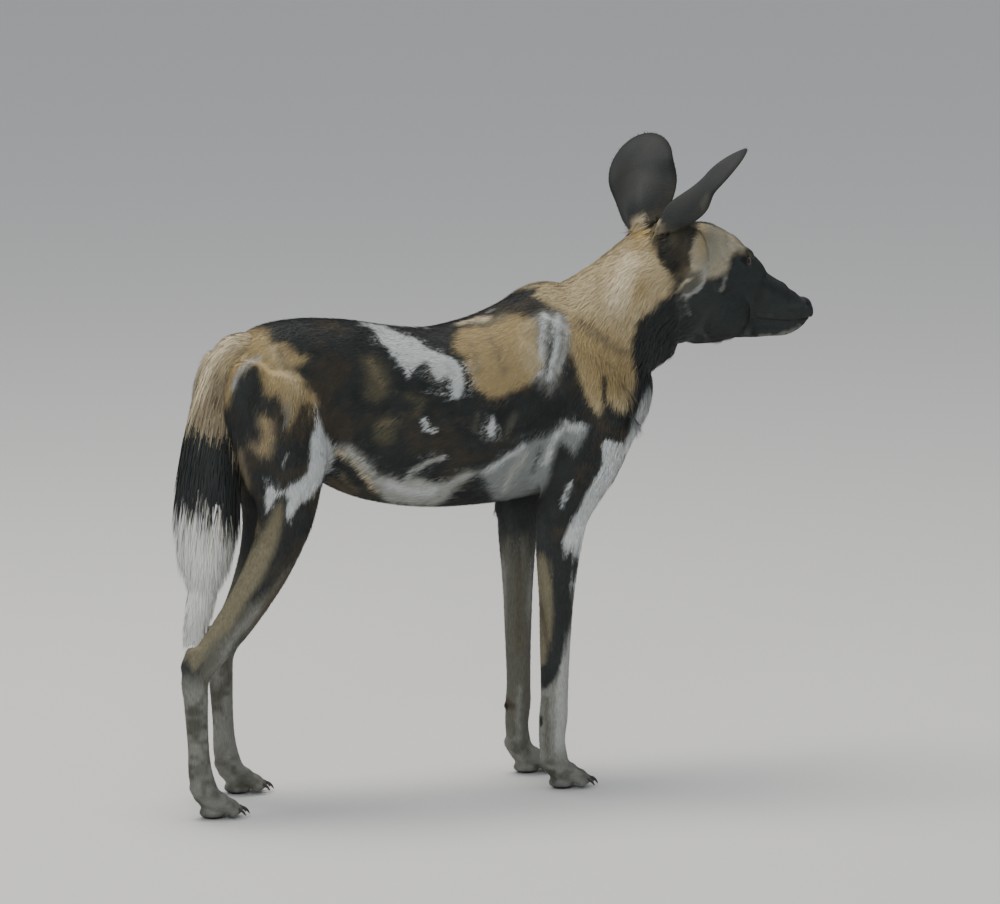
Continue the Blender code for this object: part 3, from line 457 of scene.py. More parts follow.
# along, height, lie along and up, then in millimetres: length of hair, depth of the coat, width of a tuft
lieOfCoat = {
    "noseTop": (0.628, 0.668, -1.0, 0.5, 3.0, 0.3, 0.8),
    "muzzleTop": (0.6, 0.684, -1.0, 0.45, 3.6, 0.6, 0.9),
    "muzzleSide": (0.592, 0.655, -1.0, 0.05, 4.0, 0.7, 0.9),
    "upperLip": (0.6, 0.64, -1.0, -0.35, 4.0, 0.7, 0.9),
    "chin": (0.6, 0.617, -1.0, -0.05, 5.0, 0.8, 0.9),
    "bridge": (0.555, 0.715, -1.0, 0.65, 5.0, 0.9, 1.0),
    "underEye": (0.535, 0.692, -1.0, -0.25, 5.5, 1.0, 1.0),
    "cheekFront": (0.53, 0.65, -1.0, -0.3, 7.0, 1.2, 1.1),
    "brow": (0.526, 0.75, -1.0, 0.6, 6.0, 1.2, 1.0),
    "forehead": (0.5, 0.772, -1.0, 0.2, 11.0, 2.4, 1.2),
    "temple": (0.48, 0.735, -0.75, -0.65, 12.0, 2.6, 1.3),
    "crown": (0.445, 0.79, -1.0, -0.15, 13.0, 2.8, 1.4),
    "cheek": (0.49, 0.67, -1.0, -0.4, 11.0, 2.4, 1.4),
    "jaw": (0.48, 0.62, -1.0, -0.35, 13.0, 2.4, 1.5),
    "throatLatch": (0.43, 0.615, -0.8, -0.6, 24.0, 6.0, 2.2),
    "underEar": (0.43, 0.7, -0.9, -0.5, 18.0, 4.5, 1.8),
    "nape": (0.38, 0.76, -1.0, -0.5, 18.0, 5.0, 1.9),
    "neckSide": (0.35, 0.69, -0.62, -0.85, 24.0, 6.5, 2.2),
    "throat": (0.4, 0.61, -0.3, -1.0, 30.0, 7.0, 2.5),
    "neckRoot": (0.295, 0.67, -0.62, -0.8, 21.0, 6.0, 2.2),
    "breast": (0.36, 0.545, -0.2, -1.0, 30.0, 7.0, 2.5),
    "breastLow": (0.33, 0.48, -0.35, -1.0, 18.0, 5.0, 2.0),
    "withers": (0.24, 0.712, -1.0, -0.2, 17.0, 4.5, 2.0),
    "shoulder": (0.24, 0.61, -0.42, -0.9, 13.0, 4.5, 2.0),
    "upperArm": (0.27, 0.51, -0.35, -1.0, 13.0, 4.0, 1.9),
    "ribsFront": (0.16, 0.56, -0.85, -0.6, 12.5, 4.5, 2.0),
    "back": (0.06, 0.665, -1.0, -0.15, 12.5, 4.0, 2.0),
    "ribs": (0.06, 0.56, -1.0, -0.4, 13.0, 4.5, 2.0),
    "belly": (0.06, 0.415, -1.0, -0.25, 16.0, 5.0, 2.0),
    "brisket": (0.2, 0.415, -0.9, -0.5, 15.0, 4.5, 2.0),
    "loin": (-0.08, 0.68, -1.0, -0.2, 12.0, 4.0, 2.0),
    "flank": (-0.08, 0.56, -0.9, -0.5, 13.0, 4.5, 2.0),
    "groin": (-0.11, 0.46, -0.8, -0.45, 15.0, 4.0, 1.9),
    "rump": (-0.185, 0.68, -0.9, -0.6, 12.5, 4.2, 1.9),
    "ham": (-0.215, 0.59, -0.35, -1.0, 16.0, 5.0, 2.0),
    "thigh": (-0.15, 0.52, -0.45, -1.0, 14.0, 4.5, 1.9),
    "thighBack": (-0.25, 0.52, -0.15, -1.0, 17.0, 5.0, 2.0),
    "stifle": (-0.17, 0.43, -0.35, -1.0, 12.0, 3.5, 1.8),
    "shank": (-0.23, 0.34, -0.5, -1.0, 10.0, 3.0, 1.6),
    "hock": (-0.315, 0.225, -0.3, -1.0, 8.0, 2.0, 1.4),
    "cannon": (-0.323, 0.13, 0.05, -1.0, 6.5, 1.6, 1.2),
    "hindToes": (-0.275, 0.022, 0.95, -0.35, 4.0, 1.0, 0.9),
    "elbow": (0.205, 0.4, -0.25, -1.0, 13.0, 3.5, 1.8),
    "foreArm": (0.222, 0.33, -0.02, -1.0, 9.0, 2.6, 1.5),
    "wrist": (0.219, 0.16, 0.0, -1.0, 7.0, 1.8, 1.3),
    "pastern": (0.218, 0.07, 0.15, -1.0, 6.0, 1.5, 1.2),
    "foreToes": (0.26, 0.022, 0.95, -0.35, 4.0, 1.0, 0.9),
}


def coatAt(points):  # lie, length, thickness and width of the coat, blended from the named places
    table = np.array(list(lieOfCoat.values()))
    home = unshifted(points)[:, [0, 2]]
    away = ((home[:, None, :] - table[None, :, :2]) ** 2).sum(2)
    weight = 1 / (away + 0.00006) ** 2.2
    blended = weight @ table[:, 2:] / weight.sum(1, keepdims=True)
    lie = np.stack([blended[:, 0], np.zeros(len(points)), blended[:, 1]], 1)
    return unit(lie), blended[:, 2] / 1000, blended[:, 3] / 1000, blended[:, 4] / 1000


# carving the face: strokes pushed in or pulled out of the smooth skin

faceStrokes = {  # points on the left side, width, depth inwards
    "tearGroove": ([(0.532, 0.0325, 0.723), (0.541, 0.0305, 0.715), (0.554, 0.028, 0.706)], 0.0026, 0.0015),
    "lidFold": ([(0.532, 0.0345, 0.7365), (0.522, 0.0415, 0.742), (0.511, 0.0465, 0.739),
                 (0.503, 0.0475, 0.7335)], 0.0022, 0.0014),
    "underLid": ([(0.53, 0.0385, 0.7175), (0.52, 0.0455, 0.7145), (0.509, 0.0485, 0.7175)], 0.0024, 0.0013),
    "lowerFold": ([(0.532, 0.04, 0.712), (0.52, 0.0475, 0.708), (0.506, 0.051, 0.712)], 0.0026, 0.0008),
    "outerFold": ([(0.5085, 0.0485, 0.732), (0.5, 0.05, 0.736), (0.49, 0.0515, 0.738)], 0.002, 0.001),
    "browCrest": ([(0.539, 0.0225, 0.745), (0.523, 0.0325, 0.7515), (0.504, 0.0405, 0.7515)], 0.005, -0.0014),
    "foreheadFurrow": ([(0.556, 0.0, 0.725), (0.53, 0.0, 0.75), (0.5, 0.0, 0.775)], 0.007, 0.002),
    "earEdge": ([(0.372, 0.06, 0.803), (0.376, 0.066, 0.776), (0.384, 0.069, 0.742),
                 (0.392, 0.069, 0.72)], 0.0028, -0.004),
    "earNotch": ([(0.414, 0.071, 0.79), (0.414, 0.075, 0.76)], 0.004, 0.002),
    "cheekHollow": ([(0.56, 0.031, 0.675), (0.535, 0.042, 0.67)], 0.009, 0.0022),
    "whiskerPad": ([(0.615, 0.022, 0.652), (0.6, 0.027, 0.649)], 0.0085, -0.0012),
    "nostrilFold": ([(0.63, 0.0165, 0.66), (0.6225, 0.018, 0.656), (0.619, 0.0175, 0.648)], 0.0018, 0.0012),
}
mouth = {"front": 0.64, "corner": 0.54, "level": 0.6385, "rise": 0.0085, "width": 0.0013, "depth": 0.0026}


def strokeDistance(points, stroke):
    best = np.full(len(points), 1e9)
    stroke = np.array(stroke)
    for a, b in zip(stroke, stroke[1:]):
        along = b - a
        t = np.clip(((points - a) @ along) / (along @ along), 0, 1)
        best = np.minimum(best, np.linalg.norm(points - a - t[:, None] * along, axis=1))
    return best


def mouthLevel(along):
    back = np.clip((mouth["front"] - along) / (mouth["front"] - mouth["corner"]), 0, 1.1)
    return mouth["level"] + mouth["rise"] * np.maximum(0, back - 0.45) ** 1.5 * 2.4


def carveFace(obj):
    points, normals = pointsOf(obj), normalsOf(obj)
    here = points[:, 0] > 0.34
    spot, push = points[here], np.zeros(here.sum())
    for stroke, width, depth in faceStrokes.values():
        push -= depth * np.exp(-(strokeDistance(folded(spot), stroke) / width) ** 2)
    off = (spot[:, 2] - mouthLevel(spot[:, 0])) / mouth["width"]
    inMouth = smoothStep(spot[:, 0], mouth["corner"] - 0.004, mouth["corner"] + 0.004)
    push -= mouth["depth"] * np.exp(-off ** 2) * inMouth
    push += 0.0009 * np.exp(-((off - 3.2) / 2.0) ** 2) * inMouth
    philtrum = np.exp(-(spot[:, 1] / 0.0011) ** 2) * smoothStep(spot[:, 0], 0.628, 0.636)
    push -= 0.0012 * philtrum * smoothStep(spot[:, 2], 0.638, 0.642) * (1 - smoothStep(spot[:, 2], 0.656, 0.662))
    points[here] += normals[here] * push[:, None]
    setPoints(obj, points)


def pathTube(name, points, radii, around=14):
    bm = bmesh.new()
    loops = []
    last = len(points) - 1
    side = None
    for i, (point, radius) in enumerate(zip(points, radii)):
        along = (points[min(i + 1, last)] - points[max(i - 1, 0)]).normalized()
        side = along.orthogonal().normalized() if side is None else (side - along * side.dot(along)).normalized()
        other = along.cross(side)
        loops.append([bm.verts.new(point + (side * math.cos(2 * math.pi * k / around)
                                            + other * math.sin(2 * math.pi * k / around)) * radius)
                      for k in range(around)])
    closeTube(bm, loops)
    return objectFrom(name, bm)


eyes = {
    "radius": 0.0104,
    "look": (0.62, 0.76, 0.08),
    "openWide": 0.0094, "openUp": 0.0048, "openDown": 0.0044,  # the almond between the lids
    "corners": 40,  # of that almond's outline
    "tilt": 16,  # degrees that the outer corner is above the inner one
    "tones": [(0.0, (0.002, 0.002, 0.002)), (0.26, (0.003, 0.0025, 0.002)), (0.31, (0.018, 0.009, 0.004)),
              (0.55, (0.028, 0.014, 0.006)), (0.7, (0.009, 0.005, 0.003)), (0.8, (0.004, 0.003, 0.002)),
              (0.9, (0.005, 0.004, 0.003))],  # by the angle from the line of sight: pupil, iris, rim, white
}


def eyeAxes(side):
    look = Vector((eyes["look"][0], side * eyes["look"][1], eyes["look"][2])).normalized()
    outer = (Vector((0, 0, 1)).cross(look) * side).normalized()
    up = look.cross(outer) * side
    if up.z < 0:
        up = -up
    turn = math.radians(eyes["tilt"])
    outer, up = outer * math.cos(turn) + up * math.sin(turn), up * math.cos(turn) - outer * math.sin(turn)
    return look, outer, up


def eyeOpening(side):  # cuts the almond between the lids and the bed of the eye behind it
    centre = onSide(eyePlace, side)
    look, outer, up = eyeAxes(side)
    bm = bmesh.new()
    loops = []
    for out in (0.004, 0.03):
        loop = []
        for k in range(eyes["corners"]):
            angle = 2 * math.pi * k / eyes["corners"]
            c, s = math.cos(angle), math.sin(angle)
            wide = eyes["openWide"] * math.copysign(abs(c) ** 0.85, c)
            high = (eyes["openUp"] if s > 0 else eyes["openDown"]) * math.copysign(abs(s) ** 1.35, s)
            spread = 1 + (out - 0.01) * 6
            loop.append(bm.verts.new(centre + look * out + outer * wide * spread + up * high * spread))
        loops.append(loop)
    closeTube(bm, loops)
    almond = objectFrom("opening", bm)
    bm = bmesh.new()
    bmesh.ops.create_uvsphere(bm, u_segments=48, v_segments=24, radius=eyes["radius"] + 0.00015,
                              matrix=Matrix.Translation(centre))
    bed = objectFrom("bed", bm)
    boolean(almond, [bed], "UNION")
    return almond


nostril = {
    "path": [(0.648, 0.0052, 0.6585), (0.64, 0.0066, 0.6565), (0.6335, 0.0098, 0.653), (0.63, 0.0172, 0.65)],
    "shares": (0, 0.45, 0.8, 1), "radii": (0.0034, 0.0034, 0.0022, 0.0009),
}


def nostrilCutter(side):
    points = [Vector(p) for p in throughRows([(x, side * y, z) for x, y, z in nostril["path"]], 4)]
    radii = np.interp(np.linspace(0, 1, len(points)), nostril["shares"], nostril["radii"])
    return pathTube("nostril", points, radii)


def makeSkin():
    bm = bmesh.new()
    addFlesh(bm)
    skin = objectFrom("wildDogSkin", bm)
    fuse = skin.modifiers.new("Fuse", "REMESH")
    fuse.mode = "VOXEL"
    fuse.voxel_size = skinBuild["voxel"]
    applyAll(skin)
    report("fused")
    points = pointsOf(skin)
    body = 1 - smoothStep(points[:, 0] - 0.35 * (points[:, 2] - 0.7), 0.405, 0.46)
    body = body * smoothStep(points[:, 2], 0.06, 0.2)
    jaw = np.exp(-((points[:, 0] - 0.528) / 0.03) ** 2 - ((points[:, 2] - 0.652) / 0.034) ** 2)
    body = np.maximum(np.where(points[:, 0] > 0.46, 0, body), 0.8 * jaw)
    weightGroup(skin, "body", body)
    for name, times, group in (("Even", "fineSmoothing", ""), ("Even body", "bodySmoothing", "body")):
        even = skin.modifiers.new(name, "SMOOTH")
        even.factor = 0.5
        even.iterations = skinBuild[times]
        even.vertex_group = group
    applyAll(skin)
    report("smoothed")
    points, normals = pointsOf(skin), normalsOf(skin)
    depth = coatAt(points)[2]
    points -= normals * depth[:, None]
    points[:, 2] = np.maximum(points[:, 2], floorLevel)
    setPoints(skin, points)
    carveFace(skin)
    thin = skin.modifiers.new("Thin out", "DECIMATE")
    thin.ratio = skinBuild["keepShare"]
    thin.vertex_group = "body"
    thin.use_collapse_triangulate = True
    applyAll(skin)
    report(f"thinned to {len(skin.data.polygons)} faces")
    boolean(skin, [make(side) for side in (left, right) for make in (eyeOpening, nostrilCutter)], "DIFFERENCE")
    boolean(skin, [makeEar(left), makeEar(right)], "UNION")
    report(f"eyes, nostrils and ears, {len(skin.data.polygons)} faces")
    return skin


skin = makeSkin()
report(f"skin of {len(skin.data.polygons)} faces")
activate(skin)
bpy.ops.object.mode_set(mode="EDIT")
bpy.ops.mesh.select_all(action="SELECT")
bpy.ops.uv.smart_project(angle_limit=math.radians(66), island_margin=0.002)
bpy.ops.object.mode_set(mode="OBJECT")
skin.data.uv_layers[0].name = "OFBake"


# markings, drawn as outlines on the animal seen from its right and from behind by 23 degrees

drawnView = {"turn": 23, "above": 9, "scale": 0.0014, "from": (0.22, -0.06, 0.0), "at": (554, 790)}
hairColours = {
    "ink": (0.026, 0.029, 0.028),
    "slate": (0.034, 0.039, 0.037),
    "earSlate": (0.023, 0.0255, 0.025),
    "earBrown": (0.056, 0.05, 0.036),
    "umber": (0.068, 0.052, 0.033),
    "rust": (0.135, 0.1, 0.056),
    "drab": (0.2, 0.162, 0.102),
    "tan": (0.38, 0.285, 0.14),
    "straw": (0.43, 0.3, 0.105),
    "buff": (0.46, 0.37, 0.215),
    "fawn": (0.4, 0.355, 0.255),
    "cream": (0.65, 0.545, 0.37),
    "ash": (0.225, 0.225, 0.2),
    "haze": (0.39, 0.395, 0.365),
    "mist": (0.25, 0.27, 0.26),
    "moss": (0.095, 0.086, 0.054),
    "dusk": (0.115, 0.112, 0.09),
    "greige": (0.31, 0.295, 0.225),
    "olive": (0.18, 0.16, 0.102),
    # the next two are one white coat: painted darker and bluer as white in shade for the body patches, and painted
    # brighter as sunlit white for the tail brush
    "shadedWhite": (0.59, 0.615, 0.605),
    "sunlitWhite": (0.82, 0.815, 0.775),
    "leather": (0.01, 0.01, 0.0105),
}
hairColours = {name: np.array(colour) for name, colour in hairColours.items()}
# each mark: colour, softness of its edge, width for a streak or 0 for a patch, across and down of each point
# the cream streak along the crest of the neck is a painted highlight of sunlight from behind
napeSunlitCrest = ("cream", 5, 13, [648, 216, 600, 241, 560, 262, 526, 280])
napeStraw = ("straw", 4, 12, [650, 214, 642, 232])
breastWhite = ("shadedWhite", 4, 0, [635, 392, 642, 385, 668, 384, 664, 398, 652, 418, 640, 440, 626, 460, 614, 470, 618, 452,
                           630, 428])
rightMarks = [
    ("buff", 5, 0, [664, 190, 600, 225, 520, 268, 528, 290, 545, 303, 563, 312, 566, 335, 572, 352, 580, 372, 588, 398,
         598, 414, 603, 404, 606, 396, 611, 402, 618, 410, 626, 404, 632, 385, 633, 345, 636, 322, 648, 310, 658, 300,
         668, 296, 676, 284, 668, 270, 656, 246, 656, 215, 668, 196]),
    ("tan", 9, 0, [565, 315, 600, 322, 628, 345, 634, 360, 630, 385, 618, 396, 590, 398, 578, 365]),
    ("tan", 8, 14, [646, 232, 628, 262, 640, 290]),
    napeSunlitCrest,
    ("cream", 9, 20, [632, 262, 618, 300]),
    napeStraw,
    ("drab", 6, 6, [580, 322, 596, 330, 606, 340, 616, 347, 628, 350]),
    ("rust", 4, 4, [562, 318, 570, 335]),
    ("ink", 3, 4, [604, 376, 604, 400]),
    ("ash", 6, 0, [534, 316, 552, 310, 566, 316, 570, 332, 569, 350, 563, 366, 556, 384, 550, 394, 545, 380, 540, 388,
         536, 366, 532, 345]),
    ("shadedWhite", 4, 6, [545, 318, 541, 350, 539, 372]),
    ("shadedWhite", 4, 5, [558, 318, 556, 346, 549, 378]),
    ("haze", 4, 4, [566, 324, 566, 350, 558, 372]),
    ("ink", 4, 3, [551, 340, 547, 372]),
    ("tan", 5, 0, [457, 338, 462, 331, 473, 328, 491, 324, 505, 318, 519, 314, 534, 320, 538, 346, 542, 364, 533, 382,
         514, 392, 503, 396, 491, 398, 478, 390, 471, 371, 466, 359, 455, 348]),
    ("buff", 8, 14, [530, 326, 530, 366]),
    ("drab", 8, 5, [493, 340, 500, 356, 504, 372]),
    ("olive", 6, 6, [482, 326, 506, 318]),
    ("drab", 6, 3, [472, 346, 480, 372]),
    ("haze", 3, 6, [440, 321, 456, 314, 472, 309, 492, 309]),
    ("cream", 3, 5, [460, 323, 474, 320, 490, 320]),
    ("ink", 3, 9, [498, 303, 516, 299, 534, 291]),
    ("shadedWhite", 2, 0, [332, 317, 364, 319, 376, 324, 399, 331, 422, 344, 438, 355, 454, 358, 464, 368, 466, 390, 461, 398,
         454, 396, 455, 382, 449, 375, 440, 381, 434, 371, 427, 362, 420, 368, 411, 379, 404, 366, 392, 352, 381, 338,
         373, 328, 356, 320]),
    ("haze", 3, 3, [448, 364, 456, 376]),
    ("shadedWhite", 1.5, 0, [423, 419, 429, 418, 431, 426, 440, 429, 438, 433, 431, 433, 426, 429]),
    ("shadedWhite", 2, 0, [490, 424, 494, 415, 497, 424, 494, 438, 490, 436]),
    ("moss", 9, 0, [364, 358, 378, 356, 388, 370, 393, 382, 389, 396, 378, 402, 368, 396, 370, 380]),
    ("drab", 6, 3, [374, 362, 384, 384]),
    ("moss", 8, 0, [376, 422, 392, 416, 400, 424, 398, 438, 388, 446, 378, 438]),
    ("drab", 5, 2.5, [382, 424, 392, 422]),
    ("moss", 8, 7, [412, 396, 424, 402, 420, 412]),
    ("dusk", 5, 2.5, [479, 412, 476, 430]),
    ("dusk", 6, 3, [516, 414, 507, 436]),
    ("haze", 2, 4.5, [408, 480, 415, 470, 428, 463, 446, 455]),
    ("ash", 5, 0, [336, 446, 352, 444, 366, 452, 378, 466, 386, 480, 376, 484, 362, 470, 350, 456]),
    ("cream", 2, 2.5, [340, 450, 354, 458, 368, 474, 378, 490]),
    ("shadedWhite", 2, 2.5, [350, 448, 364, 457, 376, 472]),
    ("haze", 4, 0, [374, 479, 384, 474, 396, 477, 407, 480, 424, 477, 436, 483, 450, 480, 460, 474, 470, 469, 478, 471,
         470, 478, 460, 484, 452, 492, 446, 501, 438, 505, 425, 510, 408, 509, 396, 504, 384, 494]),
    ("shadedWhite", 6, 8, [392, 486, 412, 492, 436, 490]),
    ("mist", 5, 0, [478, 471, 487, 469, 497, 463, 508, 456, 519, 446, 533, 440, 546, 437, 556, 430, 563, 421, 575, 420,
         589, 427, 583, 439, 574, 452, 569, 445, 564, 438, 559, 444, 554, 458, 548, 482, 540, 493, 526, 499, 508, 501,
         497, 500, 491, 490, 489, 480]),
    # the next three white streaks are painted highlights along the edges of the grey patch
    ("shadedWhite", 4, 4, [486, 471, 506, 459, 524, 446]),
    ("shadedWhite", 3, 4, [560, 428, 551, 446, 546, 464]),
    ("shadedWhite", 5, 7, [566, 424, 580, 427]),
    ("haze", 4, 6, [528, 452, 512, 472, 506, 488]),
    ("ink", 4, 3, [540, 446, 534, 470]),
    ("rust", 6, 5, [336, 480, 350, 494, 372, 505]),
    ("drab", 4, 2, [344, 474, 360, 492]),
    # rump, ham and thigh
    ("tan", 6, 0, [236, 334, 256, 327, 272, 333, 273, 346, 287, 346, 304, 357, 312, 360, 304, 366, 297, 369, 305, 382,
         315, 394, 322, 403, 304, 401, 299, 415, 294, 428, 289, 411, 283, 395, 273, 396, 266, 384, 262, 366, 250, 368,
         241, 378, 234, 404, 222, 400]),
    ("buff", 7, 8, [276, 352, 290, 372, 302, 392]),
    ("drab", 6, 5, [284, 352, 296, 376]),
    ("haze", 3, 3.5, [264, 360, 252, 364, 243, 374, 240, 388]),
    ("drab", 5, 0, [262, 414, 279, 418, 282, 438, 275, 455, 265, 457, 252, 445, 264, 441, 268, 430, 259, 422]),
    ("tan", 5, 5, [270, 420, 275, 438, 266, 450]),
    ("ash", 4, 2.5, [291, 400, 289, 428]),
    ("haze", 3, 2.5, [291, 452, 287, 464]),
    ("drab", 6, 4, [246, 450, 252, 500, 262, 530]),
    ("shadedWhite", 2, 0, [322, 418, 326, 431, 335, 446, 336, 456, 334, 469, 328, 475, 321, 486, 314, 493, 306, 500, 300, 508,
         291, 516, 289, 508, 294, 497, 288, 492, 282, 494, 277, 499, 271, 510, 269, 498, 271, 484, 278, 488, 289, 488,
         301, 481, 310, 471, 315, 453, 314, 438]),
    ("olive", 5, 0, [281, 502, 287, 500, 286, 518, 280, 545, 270, 567, 256, 592, 243, 614, 226, 642, 200, 666,
         188, 652, 205, 636, 222, 606, 240, 575, 258, 545, 270, 525]),
    ("drab", 6, 4, [282, 512, 268, 550, 246, 590]),
    ("dusk", 5, 0, [250, 606, 272, 592, 284, 575, 298, 560, 300, 570, 280, 600, 262, 625, 240, 640, 228, 668, 222, 690,
         205, 690, 210, 650, 232, 628]),
    ("umber", 5, 5, [300, 560, 284, 588, 258, 622]),
    ("slate", 4, 9, [188, 662, 196, 680]),
    ("ash", 6, 4, [262, 606, 240, 632, 224, 664]),
    # near foreleg
    ("shadedWhite", 2, 0, [600, 446, 604, 440, 622, 441, 624, 455, 612, 480, 600, 502, 591, 526, 585, 544, 583, 556, 576, 556,
         562, 546, 567, 530, 578, 512, 586, 495, 594, 478, 602, 462]),
    ("shadedWhite", 2, 3.5, [572, 482, 563, 503]),
    ("shadedWhite", 2, 3, [572, 584, 580, 585]),
    ("ink", 3, 0, [546, 544, 562, 548, 586, 560, 588, 580, 583, 596, 574, 600, 570, 630, 564, 648, 552, 664, 540, 690,
         536, 672, 548, 648, 555, 620, 556, 600, 550, 580, 546, 562]),
    ("shadedWhite", 2, 3, [572, 583, 580, 584]),
    ("haze", 3, 0, [575, 596, 586, 590, 584, 640, 579, 700, 576, 770, 554, 770, 553, 704, 556, 684, 560, 668, 567, 650,
         571, 620]),
    ("ash", 4, 0, [536, 690, 548, 690, 556, 676, 556, 770, 534, 770]),
    ("dusk", 5, 5, [546, 700, 548, 760]),
    ("olive", 4, 0, [534, 556, 546, 558, 551, 584, 553, 610, 550, 640, 544, 664, 534, 668]),
    ("umber", 5, 4, [541, 604, 546, 640]),
    ("slate", 4, 10, [538, 512, 542, 545]),
    ("slate", 3, 5, [534, 714, 540, 718]),
    # throat, breast
    breastWhite,
    ("cream", 4, 6, [660, 392, 648, 418]),
]
farLegMarks = [
    ("dusk", 6, 22, [516, 545, 515, 640, 511, 700, 509, 775]),
    ("ash", 4, 4, [504, 560, 503, 640, 499, 700, 496, 770]),
    ("moss", 7, 5, [520, 560, 519, 650]),
    ("slate", 4, 10, [506, 504, 514, 532]),
    ("umber", 4, 7, [503, 703, 511, 708]),
    ("ash", 4, 3, [530, 560, 529, 620]),
    ("ash", 6, 3, [520, 690, 518, 760]),
    ("drab", 5, 16, [340, 540, 312, 600, 290, 650]),
    ("haze", 5, 8, [352, 540, 322, 600, 300, 660]),
    ("shadedWhite", 4, 12, [296, 680, 300, 740]),
    ("ash", 5, 9, [286, 700, 292, 760]),
    ("cream", 4, 7, [214, 352, 198, 376, 192, 402]),
]
leftMarks = [
    ("buff", 5, 0, [664, 190, 600, 225, 520, 268, 524, 292, 548, 296, 572, 306, 590, 330, 600, 356, 612, 372, 622, 366,
         634, 345, 640, 318, 650, 306, 662, 298, 674, 284, 666, 270, 656, 246, 656, 215, 668, 196]),
    napeSunlitCrest,
    ("tan", 8, 16, [640, 250, 610, 300, 606, 346]),
    napeStraw,
    ("umber", 3, 4, [596, 322, 610, 338, 630, 344]),
    ("tan", 4, 0, [478, 326, 500, 318, 522, 320, 536, 336, 532, 360, 520, 378, 506, 372, 492, 384, 474, 372,
         468, 348]),
    ("haze", 4, 0, [536, 330, 556, 322, 570, 338, 572, 362, 562, 388, 552, 400, 546, 380, 538, 364]),
    ("ink", 4, 7, [500, 334, 508, 352, 500, 366]),
    ("shadedWhite", 3, 0, [392, 330, 414, 324, 436, 334, 448, 352, 444, 372, 430, 368, 424, 386, 410, 398, 402, 380, 412, 360,
         400, 346]),
    ("tan", 5, 0, [330, 352, 352, 346, 374, 356, 384, 378, 376, 402, 358, 412, 344, 398, 346, 378, 334, 368]),
    ("ink", 3, 8, [356, 372, 366, 388]),
    ("shadedWhite", 3, 0, [462, 404, 486, 396, 502, 408, 498, 424, 480, 420, 470, 432, 458, 424]),
    ("shadedWhite", 2, 5, [398, 420, 410, 432, 428, 434]),
    ("haze", 3, 0, [340, 470, 362, 456, 384, 462, 402, 474, 424, 470, 446, 456, 470, 452, 486, 462, 478, 480, 456, 492,
         430, 500, 404, 502, 378, 494, 356, 488]),
    ("shadedWhite", 5, 10, [384, 480, 430, 484]),
    ("tan", 5, 0, [540, 410, 562, 404, 582, 414, 588, 436, 572, 452, 552, 446, 542, 430]),
    ("shadedWhite", 3, 0, [510, 452, 530, 446, 544, 462, 540, 486, 526, 500, 512, 486]),
    ("ink", 3, 5, [524, 462, 528, 478]),
    ("shadedWhite", 3, 0, [600, 446, 616, 436, 624, 450, 612, 480, 598, 510, 584, 540, 570, 556, 574, 530, 588, 496,
         596, 470]),
    ("tan", 5, 0, [225, 330, 258, 326, 276, 342, 298, 350, 304, 372, 296, 392, 280, 396, 272, 416, 278, 440, 268, 462,
         250, 452, 240, 420, 232, 390]),
    ("ink", 3, 0, [262, 360, 276, 358, 284, 372, 276, 384, 264, 378]),
    ("shadedWhite", 3, 0, [300, 420, 316, 412, 332, 424, 330, 446, 314, 460, 304, 480, 290, 494, 282, 480, 290, 458,
         296, 438]),
    breastWhite,
]
headMarks = [
    ("slate", 2, 0, [696, 268, 704, 280, 728, 272, 734, 262, 742, 250, 770, 246, 850, 290, 850, 360, 640, 360,
         668, 300, 684, 292]),
    ("fawn", 5, 0, [684, 290, 700, 284, 708, 277, 722, 276, 729, 270, 732, 258, 738, 249, 752, 246, 752, 236, 730, 214,
         706, 196, 692, 215, 693, 240, 690, 262]),
    ("buff", 7, 8, [702, 226, 704, 252]),
    ("greige", 8, 12, [716, 222, 714, 246, 708, 266]),
    ("greige", 6, 5, [728, 236, 724, 258]),
    # painted highlight: a thin pale line of sunlit hair along the brow
    ("cream", 2, 2, [719, 214, 733, 228, 745, 241]),
    ("greige", 5, 4, [730, 240, 742, 248]),
    ("straw", 4, 0, [636, 218, 644, 206, 654, 202, 654, 216, 652, 232, 642, 232]),
    ("earBrown", 4, 0, [655, 214, 660, 196, 674, 186, 694, 184, 701, 210, 698, 232, 692, 255, 688, 268, 672, 276,
         664, 262, 657, 240]),
    # painted shade inside the opening of the near ear
    ("ink", 4, 4, [692, 200, 693, 226, 690, 246]),
    ("moss", 6, 5, [674, 214, 674, 244]),
    # painted shade: a soft brownish streak under the near ear
    ("rust", 5, 6, [668, 280, 678, 276, 688, 270]),
    ("cream", 1.5, 2.5, [656, 214, 657, 236, 661, 256, 666, 272]),
    ("dusk", 5, 0, [676, 284, 690, 272, 702, 270, 703, 282, 692, 296, 680, 300, 676, 316, 670, 300]),
    ("haze", 2, 2, [703, 266, 705, 279, 699, 290, 690, 296, 682, 295]),
    ("cream", 2, 2.5, [693, 278, 682, 284, 677, 292]),
    ("ash", 3, 2.5, [676, 298, 680, 318]),
    ("ash", 3, 2, [686, 300, 690, 314]),
    ("ash", 3, 3, [727, 276, 723, 290]),
    ("drab", 4, 3, [741, 252, 752, 254]),
    ("earSlate", 6, 8, [766, 282, 798, 296]),
    ("ash", 3, 3, [762, 336, 792, 332, 802, 325]),
]
throatMarks = [
    ("ink", 5, 0, [640, 318, 652, 308, 668, 300, 690, 305, 720, 330, 700, 350, 680, 372, 668, 386, 650, 386, 640, 400,
         632, 420, 628, 410, 634, 385, 634, 350]),
]


def drawn(points):  # where a point falls on the drawing of the markings
    a, e = math.radians(drawnView["turn"]), math.radians(drawnView["above"])
    gone = points - np.array(drawnView["from"])
    across = gone[:, 0] * math.cos(a) - gone[:, 1] * math.sin(a)
    up = gone[:, 2] * math.cos(e) + (gone[:, 0] * math.sin(a) + gone[:, 1] * math.cos(a)) * math.sin(e)
    return np.stack([drawnView["at"][0] + across / drawnView["scale"],
                     drawnView["at"][1] - up / drawnView["scale"]], 1)


